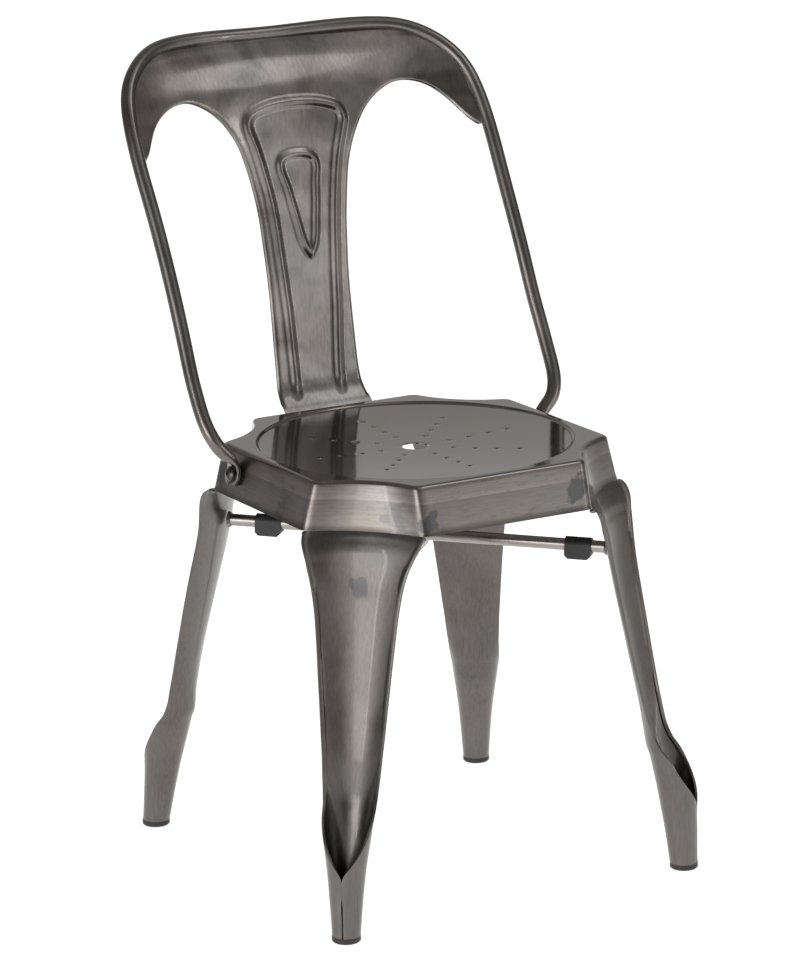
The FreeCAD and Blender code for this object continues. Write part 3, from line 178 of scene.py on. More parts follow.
def leg_mesh(name, table, sx, sy):
    drops = table[:, 0]
    fx, fy, fa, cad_, fl = [pchip(drops, table[:, i]) for i in range(1, 6)]
    st = np.unique(np.round(np.r_[np.linspace(49.3, 90, 30), np.linspace(92, 300, 60),
                                  np.linspace(303, 384, 52), np.linspace(386, 446.1, 14)], 3))
    n = 44
    u = np.linspace(-1, 1, n)
    u = 0.55 * u + 0.45 * np.sin(u * math.pi / 2)
    verts = []
    for d in st:
        bx, by, turn, k, half = float(fx(d)), float(fy(d)), math.radians(float(fa(d))), float(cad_(d)), float(fl(d))
        ux, uy = math.cos(turn), math.sin(turn)
        tx, ty = -uy, ux
        rad = 1.0 / k
        cx, cy = bx + rad * ux, by + rad * uy
        lip = 1.6 * min(1.0, max(0.0, (383.5 - d) / 12.0))
        s = u * half
        e = half - np.abs(s)
        edge = np.clip((5.4 - e) / 1.3, 0, 1)
        grow = lip * edge * edge * (3 - 2 * edge)
        # rounded rim
        rnd = np.clip(1 - e / 1.0, 0, 1) ** 2
        ph = s / rad
        outer_r = rad + WALL / 2 - 0.35 * rnd
        inner_r = rad - WALL / 2 - grow + 0.35 * rnd
        ring = []
        for r, seq in ((outer_r, range(n)), (inner_r, range(n - 1, -1, -1))):
            for i in seq:
                c, s_ = math.cos(ph[i]), math.sin(ph[i])
                ring.append((sx * (cx - r[i] * c * ux + r[i] * s_ * tx), sy * (cy - r[i] * c * uy + r[i] * s_ * ty), -d))
        verts.extend(ring)
    cols = 2 * n
    faces = grid_faces(len(st), cols, True)
    for base in (0, (len(st) - 1) * cols):
        for i in range(n - 1):
            faces.append((base + i, base + i + 1, base + cols - 2 - i, base + cols - 1 - i))
    return mesh_piece(name, verts, faces, 40)


# ------------------------------------------------------------------ back panel
PROFILE = [(-46, 189.2), (-28, 184.7), (-14, 181.6), (-5, 184.6), (4, 193.5), (12, 199.8), (18, 203.2),
           (50, 210), (82, 215), (125, 221.6), (179, 229), (217, 234), (247, 240), (290, 248.5),
           (331, 259), (360, 277), (378, 295.5), (388, 307.5), (396, 317.0)]
BOW = [(-46, 0), (200, 0.0), (230, 6), (260, 30), (283, 50), (320, 37), (345, 36), (356, 37), (373, 42),
       (380, 50), (390, 60), (396, 62)]
EDGE = [(54.0, -42.0), (54.0, -30.0), (54.0, -16.0), (53.4, -2.0), (52.2, 10.0), (51.0, 24.0), (50.3, 42.0), (50.0, 62.0), (49.6, 90.0),
        (49.5, 118.0), (50.2, 146.0), (51.6, 170.0), (53.5, 198.0), (56.0, 218.0), (58.9, 236.0), (62.4, 252.0),
        (66.4, 266.0), (71.6, 280.0), (78.5, 293.0), (86.0, 304.0), (95.0, 313.4), (105.0, 321.0),
        (116.0, 327.0), (127.0, 330.6), (137.0, 331.0), (148.0, 329.2), (159.0, 324.8), (170.0, 317.4),
        (180.0, 307.4), (188.0, 296.8), (196.0, 287.0), (202.5, 281.8)]
OUTER_RIB = [(27.2, 8.0), (27.2, 30.0), (28.4, 60.0), (31.5, 120.0), (35.0, 172.0), (39.7, 220.0), (45.4, 252.0),
             (51.0, 275.0), (55.8, 290.0), (57.8, 301.0), (53.6, 309.8), (43.0, 315.0), (28.0, 318.6), (12.0, 320.2), (0.0, 320.6)]
INNER_RIB = [(0.0, 158.0), (5.6, 168.0), (10.8, 191.0), (15.0, 216.0), (18.8, 238.0), (21.6, 251.0),
             (19.6, 260.0), (12.0, 264.6), (0.0, 266.0)]
HOOP = [
    (189.6, 55.0, -11.5), (194.6, 54.9, -3.5), (200.9, 55.2, 5.2), (206.4, 58.2, 14.6),
    (210.0, 63.4, 24.9), (211.8, 70.2, 36.5), (212.5, 80.8, 54.9), (212.6, 90.8, 73.6),
    (211.8, 104.1, 100.5), (211.3, 127.0, 150.4), (211.3, 151.4, 199.2), (212.0, 178.0, 248.1),
    (212.5, 189.0, 267.6), (212.2, 204.5, 294.5), (210.0, 220.2, 320.3), (203.6, 237.4, 345.0),
    (195.8, 248.2, 357.8), (179.0, 263.4, 373.2), (151.2, 281.0, 385.6), (120.0, 292.6, 389.4),
    (86.8, 300.4, 389.6), (41.3, 306.4, 388.2), (0.0, 308.0, 387.4),
]
yc = pchip([p[0] for p in PROFILE], [p[1] for p in PROFILE])
yb = pchip([p[0] for p in BOW], [p[1] for p in BOW])


def poly_dist(px, pz, poly):
    poly = np.asarray(poly, float)
    best = np.full(px.shape, 1e9)
    for a, b in zip(poly[:-1], poly[1:]):
        d = b - a
        t = np.clip(((px - a[0]) * d[0] + (pz - a[1]) * d[1]) / (d @ d), 0, 1)
        best = np.minimum(best, np.hypot(px - a[0] - t * d[0], pz - a[1] - t * d[1]))
    return best


rib_o = catmull(OUTER_RIB, 80)
rib_i = catmull(INNER_RIB, 50)


def bead(d, w):
    return 0.5 + 0.5 * np.cos(math.pi * np.minimum(1.0, d / w))


def panel_y(x, z, edge_poly=None):
    ax = np.abs(x)
    y = yc(z) - yb(z) * (ax / 212.0) ** 2.3
    fade = np.clip((z - 4.0) / 22.0, 0, 1)
    xo = np.abs(x - np.interp(z, [8, 100], [-3.4, 0.0]))
    xi = np.abs(x - np.interp(z, [158, 266], [4.2, -2.4]))
    y = y - 4.2 * bead(poly_dist(xo, z, rib_o), 7.8) * fade - 3.5 * bead(poly_dist(xi, z, rib_i), 6.0)
    return y


def panel_mesh():
    er = catmull(EDGE, 230)
    top = [(p[0], p[2]) for p in HOOP if p[2] > 281.0]
    top[0:0] = []
    half_top = catmull([(207.0, 284.0)] + [(x - 0.0, z) for x, z in top if z > 290.0], 150)
    right = [tuple(p) for p in er]
    up = [tuple(p) for p in half_top]
    outline = right + up
    left = [(-x, z) for x, z in outline[::-1] if x > 0.01]
    outline = outline + left
    # resample the closed outline evenly
    O = np.array(outline + [outline[0]])
    s = np.r_[0, np.cumsum(np.linalg.norm(np.diff(O, axis=0), axis=1))]
    keep = np.r_[True, np.diff(s) > 1e-6]
    O, s = O[keep], s[keep]
    n = int(s[-1] / 2.2)
    t = np.linspace(0, s[-1], n, endpoint=False)
    ring = np.c_[np.interp(t, s, O[:, 0]), np.interp(t, s, O[:, 1])]
    # free edges (not under the hoop) get rolled back slightly
    free = [tuple(p) for p in er]
    # interior points
    step = 2.1
    pts = []
    zz = np.arange(-41, 392, step * 0.866)
    for i, z in enumerate(zz):
        xs = np.arange(-214, 214, step) + (step / 2 if i % 2 else 0)
        for x in xs:
            pts.append((x, z))
    pts = np.array(pts)
    inside = np.zeros(len(pts), bool)
    a = ring
    b = np.roll(ring, -1, axis=0)
    for (x0, z0), (x1, z1) in zip(a, b):
        c = ((z0 > pts[:, 1]) != (z1 > pts[:, 1]))
        with np.errstate(divide="ignore", invalid="ignore"):
            xi = (x1 - x0) * (pts[:, 1] - z0) / (z1 - z0) + x0
        inside ^= c & (pts[:, 0] < xi)
    pts = pts[inside]
    dist = poly_dist(pts[:, 0], pts[:, 1], np.vstack([ring, ring[:1]]))
    dfree = poly_dist(np.abs(pts[:, 0]), pts[:, 1], np.array(free))
    pts = pts[(dist > 1.3) & (dfree > 5.0)]
    tan = np.roll(ring, -1, axis=0) - np.roll(ring, 1, axis=0)
    tan /= np.linalg.norm(tan, axis=1)[:, None]
    inw = np.c_[-tan[:, 1], tan[:, 0]]
    on_free = poly_dist(np.abs(ring[:, 0]), ring[:, 1], np.array(free)) < 0.4
    closed = np.vstack([ring, ring[:1]])
    for o_ in (0.8, 1.7, 2.8, 4.0):
        q_ = (ring + inw * o_)[on_free]
        inside = np.zeros(len(q_), bool)
        for (x0, z0), (x1, z1) in zip(a, b):
            c = ((z0 > q_[:, 1]) != (z1 > q_[:, 1]))
            with np.errstate(divide="ignore", invalid="ignore"):
                xi_ = (x1 - x0) * (q_[:, 1] - z0) / (z1 - z0) + x0
            inside ^= c & (q_[:, 0] < xi_)
        dq = poly_dist(q_[:, 0], q_[:, 1], closed)
        pts = np.vstack([pts, q_[inside & (dq > 0.9 * o_)]])
    # two offset rows along the free edge keep the roll smooth
    allp = np.vstack([ring, pts])
    edges = [(i, (i + 1) % n) for i in range(n)]
    vs, es, fs, ov, oe, of_ = delaunay_2d_cdt([Vector(p) for p in allp], edges, [], 1, 1e-4)
    V = np.array([(v.x, v.y) for v in vs])
    F = [tuple(f) for f in fs]
    # distance to the free edge on either side
    fp = np.array(free)
    dm = poly_dist(np.abs(V[:, 0]), V[:, 1], fp)
    roll = 2.4 * np.clip(1 - dm / 4.2, 0, 1) ** 2
    roll = np.where(V[:, 1] < 2, roll * 0.0, roll)
    Y = panel_y(V[:, 0], V[:, 1]) + roll
    P = np.c_[V[:, 0], Y, V[:, 1]]
    # surface normal from finite differences, for an even thickness
    e = 0.6
    gx = (panel_y(V[:, 0] + e, V[:, 1]) - panel_y(V[:, 0] - e, V[:, 1])) / (2 * e)
    gz = (panel_y(V[:, 0], V[:, 1] + e) - panel_y(V[:, 0], V[:, 1] - e)) / (2 * e)
    N = np.c_[-gx, np.ones(len(V)), -gz]
    N /= np.linalg.norm(N, axis=1)[:, None]
    back = P + N * 1.3
    m = len(P)
    verts = np.vstack([P, back])
    faces = [f for f in F] + [tuple(i + m for i in f[::-1]) for f in F]
    # boundary edges of the triangulation
    from collections import Counter
    cnt = Counter()
    for f in F:
        for i in range(len(f)):
            cnt[tuple(sorted((f[i], f[(i + 1) % len(f)])))] += 1
    for (i, j), c in cnt.items():
        if c == 1:
            faces.append((i, j, j + m, i + m))
    return mesh_piece("panel_sheet", verts, faces, 50)


# ------------------------------------------------------------------------ hoop
LEAN = math.atan(12.5 / 49.0)
NX = np.array([math.cos(LEAN), 0, math.sin(LEAN)])
BOLT = np.array([176.0 + 12.5 / 49.0 * 25.0, 55.0, -25.0])
EYE = BOLT + NX * 4.15


def hoop_mesh():
    """Round tube whose ends are pressed flat and end in a round eye."""
    UP = np.array([-math.sin(LEAN), 0, math.cos(LEAN)])
    low = [EYE + UP * h for h in (-12.4, -11.6, -9.5, -6.0, 0.0, 6.0)]
    half = [np.array(p) for p in HOOP]
    path = low + half[2:]
    full = path + [np.array([-p[0], p[1], p[2]]) for p in path[:-1][::-1]]
    n = 420
    C = catmull(full, n)
    T_ = np.gradient(C, axis=0)
    T_ /= np.linalg.norm(T_, axis=1)[:, None]
    L = np.r_[0, np.cumsum(np.linalg.norm(np.diff(C, axis=0), axis=1))]
    total = L[-1]
    m = 40
    verts = []
    # frame: side is close to +Y at both ends, carried along by projection
    side = np.array([0, 1.0, 0])
    for i in range(n):
        t = T_[i]
        side = side - t * (side @ t)
        side /= np.linalg.norm(side)
        nor = np.cross(side, t)
        d = min(L[i], total - L[i])
        # flat from 0 to 26 mm, round from 44 mm
        k = np.clip((d - 21.0) / 20.0, 0, 1)
        k = k * k * (3 - 2 * k)
        thick = 2.5 + (7.68 - 2.5) * k
        wide = 12.3 + (7.68 - 12.3) * np.clip((d - 14.0) / 26.0, 0, 1) ** 0.8
        if d < 12.4:
            wide = min(wide, math.sqrt(max(0.0, 12.4 ** 2 - (12.4 - d) ** 2)) + 0.15)
        pw = 0.45 + 0.55 * k
        for j in range(m):
            a = 2 * math.pi * j / m
            ca, sa = math.cos(a), math.sin(a)
            v = side * wide * math.copysign(abs(ca) ** pw, ca) + nor * thick * math.copysign(abs(sa) ** pw, sa)
            verts.append(C[i] + v)
    faces = grid_faces(n, m, True)
    faces.append(tuple(range(m)))
    faces.append(tuple((n - 1) * m + j for j in range(m))[::-1])
    return mesh_piece("hoop_pipe", verts, faces, 40)


# ------------------------------------------------------------------------ seat
def octagon_ring(half, corner, dip, rnd, ang):
    dip = dip * 2.2
    """Points of the rounded eight sided outline in the directions ang."""
    h, c = half, corner
    pts = []
    corners = [(h, -c), (h, c), (c, h), (-c, h), (-h, c), (-h, -c), (-c, -h), (c, -h)]
    chord = (h - c) * math.sqrt(2)
    rad = (chord * chord / 4 + dip * dip) / (2 * dip)
    for i in range(8):
        a = np.array(corners[i], float)
        b = np.array(corners[(i + 1) % 8], float)
        k = 60
        for q in range(k):
            u = q / k
            p = a + (b - a) * u
            if i % 2 == 1:
                m = (a + b) / 2
                inward = -m / np.linalg.norm(m)
                x = (u - 0.5) * chord
                sag = math.sqrt(rad * rad - x * x) - (rad - dip)
                p = p + inward * sag
            pts.append(p)
    P = np.array(pts)
    # rounding: repeated smoothing along the closed line keeps the panels
    s = np.r_[0, np.cumsum(np.linalg.norm(np.diff(np.vstack([P, P[:1]]), axis=0), axis=1))]
    n = 2400
    t = np.linspace(0, s[-1], n, endpoint=False)
    Q = np.c_[np.interp(t, s, np.r_[P[:, 0], P[0, 0]]), np.interp(t, s, np.r_[P[:, 1], P[0, 1]])]
    ds = s[-1] / n
    w = max(1, int(rnd * 0.62 / ds))
    ker = np.ones(2 * w + 1) / (2 * w + 1)
    for _ in range(2):
        for k in (0, 1):
            ext = np.r_[Q[-w:, k], Q[:, k], Q[:w, k]]
            Q[:, k] = np.convolve(ext, ker, mode="valid")
    th = np.arctan2(Q[:, 1], Q[:, 0])
    o = np.argsort(th)
    th, Q = th[o], Q[o]
    r = np.hypot(Q[:, 0], Q[:, 1])
    rr = np.interp(ang, np.r_[th - 2 * math.pi, th, th + 2 * math.pi], np.r_[r, r, r])
    return np.c_[rr * np.cos(ang), rr * np.sin(ang)]


def seat_mesh():
    # angles: finer around the upright bends
    base = np.linspace(-math.pi, math.pi, 721)[:-1]
    extra = []
    for hx, cy in ((176.0, 100.0), (188.5, 98.5)):
        for a0 in (math.atan2(cy, hx), math.atan2(hx, cy)):
            for q in range(4):
                for sg in (1, -1):
                    c = sg * a0 + q * math.pi / 2
                    extra.extend(c + np.linspace(-0.06, 0.06, 25))
    ang = np.r_[base, extra]
    ang = (ang + math.pi) % (2 * math.pi) - math.pi
    ang = np.unique(np.round(ang, 5))
    keep = [ang[0]]
    for a in ang[1:]:
        if a - keep[-1] > 0.0018:
            keep.append(a)
    ang = np.array(keep)
    n = len(ang)
    cs = np.c_[np.cos(ang), np.sin(ang)]
    verts = []

    def ring(xy, z):
        for p in xy:
            verts.append((p[0], p[1], z))

    rings = 0
    rd = 166.9

    def dish_z(r):
        return -8.0 + 5.8 * (r / 163.3) ** 2

    R_IN = 158.0
    prof = [(R_IN, dish_z(R_IN)), (160.5, dish_z(160.5)), (162.3, dish_z(162.3)), (163.2, -2.18), (163.9, -2.05),
            (164.6, -1.55), (165.3, -0.75), (165.9, -0.22), (166.6, 0.0), (167.5, 0.03), (168.6, 0.0)]
    for r, z in prof:
        ring(cs * r, z)
        rings += 1
    # plain field out to the rim bend, then the bend, the skirt and the inside
    er = 5.0
    flat = octagon_ring(176.0 - er, 100.0 - er * 0.41, 6.0, 9.0, ang)
    inner_c = cs * 168.6
    for f in (0.35, 0.7, 0.93):
        ring(inner_c * (1 - f) + flat * f, 0.0)
        rings += 1
    slope = 12.5 / 49.0
    tilt = math.atan(slope)
    for q in range(0, 11):
        a = (math.pi / 2 - tilt) * q / 10
        off = -er + er * math.sin(a)
        z = -er + er * math.cos(a)
        # half width grows by the slope once the bend is passed
        hh = 176.0 + off + (0.18 * q / 10)
        ring(octagon_ring(hh, 100.0 + off * 0.41, 6.0, 9.0, ang), z)
        rings += 1
    z0 = verts[-1][2]
    h0 = hh
    for q in range(1, 15):
        u = q / 14.0
        z = z0 + (-49.0 - z0) * u
        hh = h0 + (188.5 - h0) * u
        cc = (100.0 + off * 0.41) + (98.5 - 100.0 - off * 0.41) * u
        dp = 6.0 + (4.6 - 6.0) * u
        hh += 0.7 * max(0.0, (u - 0.86) / 0.14) ** 2
        ring(octagon_ring(hh, cc, dp, 9.0, ang), z)
        rings += 1
    # lower edge and inside
    ring(octagon_ring(188.5 + 0.1, 98.3, 4.6, 9.0, ang), -49.0 - 0.0)
    ring(octagon_ring(188.5 - 1.4, 97.6, 4.6, 8.0, ang), -49.0)
    rings += 2
    for q in range(1, 9):
        u = q / 8.0
        z = -49.0 + (49.0 - 6.5) * u
        hh = (188.5 - 1.45) + (177.3 - 1.45 - 188.5 + 1.45) * u
        cc = 97.6 + (99.1 - 97.6) * u
        ring(octagon_ring(hh, cc, 4.6 + 1.4 * u, 8.0, ang), z)
        rings += 1
    for hh, z in ((174.9, -3.2), (173.5, -2.0), (171.5, -1.52)):
        ring(octagon_ring(hh, 99.1 - (175.8 - hh) * 0.41, 6.0, 8.0, ang), z)
        rings += 1
    ring(cs * 168.6, -1.52)
    ring(cs * 166.2, -1.7)
    ring(cs * 163.6, -3.4)
    ring(cs * R_IN, dish_z(R_IN) - 1.5)
    rings += 4
    faces = grid_faces(rings, n, True)
    # dish with its holes: constrained triangulation, doubled for thickness
    loops = [cs * R_IN]
    k = 40
    a_ = np.linspace(0, 2 * math.pi, k, endpoint=False)
    circ = np.c_[np.cos(a_), np.sin(a_)]
    loops.append(circ * 14.2)
    ks = 18
    a_ = np.linspace(0, 2 * math.pi, ks, endpoint=False)
    small = np.c_[np.cos(a_), np.sin(a_)]
    centres = []
    for q in range(8):
        for r in (41.3, 64.9, 88.4, 112.0):
            c = np.array([r * math.cos(q * math.pi / 4), r * math.sin(q * math.pi / 4)])
            centres.append(c)
            loops.append(c + small * 2.4)
    allp, edges = [], []
    for lp in loops:
        o = len(allp)
        allp.extend(lp.tolist())
        edges.extend((o + i, o + (i + 1) % len(lp)) for i in range(len(lp)))
    # ring halo round each drain hole for a slight countersunk edge
    for c in centres:
        allp.extend((c + small * 3.1).tolist())
        allp.extend((c + small * 4.4).tolist())
    allp.extend((circ * 15.2).tolist())
    allp.extend((circ * 17.5).tolist())
    g = []
    for r in np.arange(21.0, 156.0, 4.5):
        m = max(24, int(2 * math.pi * r / 4.8))
        aa = np.linspace(0, 2 * math.pi, m, endpoint=False) + r * 0.37
        g.append(np.c_[r * np.cos(aa), r * np.sin(aa)])
    g = np.vstack(g)
    cen = np.array(centres)
    dd = np.min(np.linalg.norm(g[:, None, :] - cen[None], axis=2), axis=1)
    g = g[dd > 6.0]
    allp.extend(g.tolist())
    vs, es, fs, ov, oe, of_ = delaunay_2d_cdt([Vector(p) for p in allp], edges, [], 1, 1e-5)
    V = np.array([(v.x, v.y) for v in vs])
    F = []
    for f in fs:
        c = V[list(f)].mean(axis=0)
        if np.hypot(*c) < 14.1:
            continue
        if np.min(np.linalg.norm(cen - c, axis=1)) < 2.3:
            continue
        F.append(tuple(f))
    rr = np.hypot(V[:, 0], V[:, 1])
    dz = np.min(np.linalg.norm(V[:, None, :] - cen[None], axis=2), axis=1)
    z = dish_z(rr)
    z = z - 0.28 * np.clip(1 - (dz - 2.4) / 1.6, 0, 1) - 0.35 * np.clip(1 - (rr - 14.2) / 2.4, 0, 1)
    zb = dish_z(rr) - 1.5
    o = len(verts)
    m = len(V)
    for p, q in zip(V, z):
        verts.append((p[0], p[1], q))
    for p, q in zip(V, zb):
        verts.append((p[0], p[1], q))
    from collections import Counter
    cnt = Counter()
    for f in F:
        faces.append(tuple(o + i for i in f))
        faces.append(tuple(o + m + i for i in f[::-1]))
        for i in range(len(f)):
            cnt[tuple(sorted((f[i], f[(i + 1) % len(f)])))] += 1
    for (i, j), c in cnt.items():
        if c == 1 and max(rr[i], rr[j]) < R_IN - 1:
            faces.append((o + i, o + j, o + m + j, o + m + i))
    return mesh_piece("seat_sheet", verts, faces, 32)


# ------------------------------------------------------------------- materials
def nd(nt, kind, **kw):
    n_ = nt.nodes.new(kind)
    for k, v in kw.items():
        if k.startswith("in_"):
            n_.inputs[k[3:].replace("_", " ")].default_value = v
        else:
            setattr(n_, k, v)
    return n_


def ramp(nt, fac, stops):
    r = nt.nodes.new("ShaderNodeValToRGB")
    cr = r.color_ramp
    while len(cr.elements) < len(stops):
        cr.elements.new(0.5)
    for e, (p, c) in zip(cr.elements, stops):
        e.position = p
        e.color = c if len(c) == 4 else (*c, 1)
    nt.links.new(fac, r.inputs["Fac"])
    return r


def grey(v, warm=0.0):
    return (v * (1 + 1.0 * warm), v * (1 - 0.22 * warm), v * (1 - 0.95 * warm))


def steel(name, base=0.16, warm=0.08, rough=0.24, brush=(1.0, 1.0, 40.0), contrast=0.28, coat=0.45, bump=0.02,
          cloud=14.0, blotch=0.5, fine_scale=30.0, specks=0.0, painted_light_bands=None, marks=()):
    """Lacquered brushed steel: directional brushing, cloudy heat tone, smears, local marks, and optional painted
    shade and painted highlight bands along the height.
    """
    mat = bpy.data.materials.new(name)
    mat.use_nodes = True
    nt = mat.node_tree
    nt.nodes.clear()
    out = nd(nt, "ShaderNodeOutputMaterial")
    bs = nd(nt, "ShaderNodeBsdfPrincipled")
    nt.links.new(bs.outputs[0], out.inputs[0])
    bs.inputs["Metallic"].default_value = 1.0
    bs.inputs["Coat Weight"].default_value = coat
    bs.inputs["Coat Roughness"].default_value = 0.05
    bs.inputs["Coat IOR"].default_value = 1.5
    tc = nd(nt, "ShaderNodeTexCoord")
    mp = nd(nt, "ShaderNodeMapping")
    mp.inputs["Scale"].default_value = brush
    nt.links.new(tc.outputs["Object"], mp.inputs["Vector"])
    fine = nd(nt, "ShaderNodeTexNoise", in_Scale=fine_scale, in_Detail=7.0, in_Roughness=0.7)
    nt.links.new(mp.outputs[0], fine.inputs["Vector"])
    cl = nd(nt, "ShaderNodeTexNoise", in_Scale=cloud, in_Detail=3.5, in_Roughness=0.5, in_Distortion=0.9)
    nt.links.new(tc.outputs["Object"], cl.inputs["Vector"])
    tint = nd(nt, "ShaderNodeTexNoise", in_Scale=cloud * 0.62, in_Detail=2.0, in_Roughness=0.5, in_Distortion=0.5)
    mp2 = nd(nt, "ShaderNodeMapping")
    mp2.inputs["Location"].default_value = (3.1, 1.7, 5.3)
    nt.links.new(tc.outputs["Object"], mp2.inputs["Vector"])
    nt.links.new(mp2.outputs[0], tint.inputs["Vector"])
    mix = nd(nt, "ShaderNodeMix", data_type="FLOAT")
    mix.inputs[0].default_value = 1.0 - blotch
    nt.links.new(cl.outputs["Fac"], mix.inputs[2])
    nt.links.new(fine.outputs["Fac"], mix.inputs[3])
    lo, hi = base * (1 - contrast), base * (1 + contrast)
    brown = ramp(nt, mix.outputs[0], [(0.33, grey(lo, warm * 1.5)), (0.5, grey(base, warm * 1.15)), (0.68, grey(hi, warm * 1.1))])
    cool = ramp(nt, mix.outputs[0], [(0.33, grey(lo, warm * 0.35)), (0.5, grey(base, warm * 0.45)), (0.68, grey(hi, warm * 0.7))])
    tr = ramp(nt, tint.outputs["Fac"], [(0.38, (0, 0, 0)), (0.62, (1, 1, 1))])
    cm = nd(nt, "ShaderNodeMix", data_type="RGBA")
    nt.links.new(tr.outputs["Color"], cm.inputs[0])
    nt.links.new(brown.outputs["Color"], cm.inputs[6])
    nt.links.new(cool.outputs["Color"], cm.inputs[7])
    col_out = cm.outputs[2]
    rg = ramp(nt, cl.outputs["Fac"], [(0.3, (rough * 0.75,) * 3), (0.7, (rough * 1.3,) * 3)])
    rough_out = rg.outputs["Color"]
    if painted_light_bands:
        # painted light along the height: darker bands are painted shade, brighter bands painted highlight; stops are
        # millimetres below the rim and a factor
        sp = nd(nt, "ShaderNodeSeparateXYZ")
        nt.links.new(tc.outputs["Object"], sp.inputs[0])
        hz = nd(nt, "ShaderNodeMapRange")
        hz.inputs["From Min"].default_value = (RIM - painted_light_bands[-1][0]) / 1000
        hz.inputs["From Max"].default_value = (RIM - painted_light_bands[0][0]) / 1000
        nt.links.new(sp.outputs[2], hz.inputs["Value"])
        span = painted_light_bands[-1][0] - painted_light_bands[0][0]
        stops = [((painted_light_bands[-1][0] - d_) / span, (f_,) * 3) for d_, f_ in painted_light_bands][::-1]
        painted_band_ramp = ramp(nt, hz.outputs[0], stops)
        mm = nd(nt, "ShaderNodeMix", data_type="RGBA", blend_type="MULTIPLY")
        mm.inputs[0].default_value = 1.0
        nt.links.new(col_out, mm.inputs[6])
        nt.links.new(painted_band_ramp.outputs["Color"], mm.inputs[7])
        col_out = mm.outputs[2]
    if specks:
        mp3 = nd(nt, "ShaderNodeMapping")
        mp3.inputs["Scale"].default_value = (1.0, 1.0, 2.2)
        nt.links.new(tc.outputs["Object"], mp3.inputs["Vector"])
        sn = nd(nt, "ShaderNodeTexNoise", in_Scale=95.0, in_Detail=4.0, in_Roughness=0.6)
        nt.links.new(mp3.outputs[0], sn.inputs["Vector"])
        sr = ramp(nt, sn.outputs["Fac"], [(0.60, (0, 0, 0)), (0.70, (specks,) * 3)])
        sm = nd(nt, "ShaderNodeMix", data_type="RGBA")
        nt.links.new(sr.outputs["Color"], sm.inputs[0])
        nt.links.new(col_out, sm.inputs[6])
        sm.inputs[7].default_value = (*grey(base * 0.42, 0.05), 1)
        col_out = sm.outputs[2]
    for centre, radius, tone, amount, rgh in marks:
        gm = nd(nt, "ShaderNodeVectorMath", operation="DISTANCE")
        ns = nd(nt, "ShaderNodeTexNoise", in_Scale=75.0, in_Detail=3.0)
        nt.links.new(tc.outputs["Object"], ns.inputs["Vector"])
        sc = nd(nt, "ShaderNodeVectorMath", operation="SCALE")
        nt.links.new(ns.outputs["Color"], sc.inputs[0])
        sc.inputs["Scale"].default_value = radius * 2.4
        ad = nd(nt, "ShaderNodeVectorMath", operation="ADD")
        nt.links.new(tc.outputs["Object"], ad.inputs[0])
        nt.links.new(sc.outputs[0], ad.inputs[1])
        nt.links.new(ad.outputs[0], gm.inputs[0])
        c = np.array(centre) + radius * 1.2
        gm.inputs[1].default_value = tuple(c)
        mr = nd(nt, "ShaderNodeMapRange", interpolation_type="SMOOTHSTEP")
        mr.inputs["From Min"].default_value = radius * 1.12
        mr.inputs["From Max"].default_value = radius * 0.78
        mr.inputs["To Max"].default_value = amount
        nt.links.new(gm.outputs["Value"], mr.inputs["Value"])
        mc = nd(nt, "ShaderNodeMix", data_type="RGBA")
        nt.links.new(mr.outputs[0], mc.inputs[0])
        nt.links.new(col_out, mc.inputs[6])
        mc.inputs[7].default_value = (*tone, 1)
        col_out = mc.outputs[2]
        mx = nd(nt, "ShaderNodeMix", data_type="FLOAT")
        nt.links.new(mr.outputs[0], mx.inputs[0])
        nt.links.new(rough_out, mx.inputs[2])
        mx.inputs[3].default_value = rgh
        rough_out = mx.outputs[0]
    nt.links.new(col_out, bs.inputs["Base Color"])
    nt.links.new(rough_out, bs.inputs["Roughness"])
    bp = nd(nt, "ShaderNodeBump", in_Strength=bump, in_Distance=0.001)
    nt.links.new(fine.outputs["Fac"], bp.inputs["Height"])
    nt.links.new(bp.outputs[0], bs.inputs["Normal"])
    return mat


def rubber(name):
    mat = bpy.data.materials.new(name)
    mat.use_nodes = True
    nt = mat.node_tree
    nt.nodes.clear()
    out = nd(nt, "ShaderNodeOutputMaterial")
    bs = nd(nt, "ShaderNodeBsdfPrincipled")
    nt.links.new(bs.outputs[0], out.inputs[0])
    tc = nd(nt, "ShaderNodeTexCoord")
    ns = nd(nt, "ShaderNodeTexNoise", in_Scale=260.0, in_Detail=4.0)
    nt.links.new(tc.outputs["Object"], ns.inputs["Vector"])
    col = ramp(nt, ns.outputs["Fac"], [(0.35, (0.012, 0.012, 0.013)), (0.7, (0.026, 0.025, 0.027))])
    nt.links.new(col.outputs["Color"], bs.inputs["Base Color"])
    rg = ramp(nt, ns.outputs["Fac"], [(0.3, (0.42,) * 3), (0.7, (0.58,) * 3)])
    nt.links.new(rg.outputs["Color"], bs.inputs["Roughness"])
    bp = nd(nt, "ShaderNodeBump", in_Strength=0.08, in_Distance=0.0006)
    nt.links.new(ns.outputs["Fac"], bp.inputs["Height"])
    nt.links.new(bp.outputs[0], bs.inputs["Normal"])
    return mat


def give(ob, mat):
    ob.data.materials.clear()
    ob.data.materials.append(mat)


WELD_TONE = (0.066, 0.068, 0.073)


def m_(x, y, z):
    return tuple(float(v) for v in row((x, y, z)))


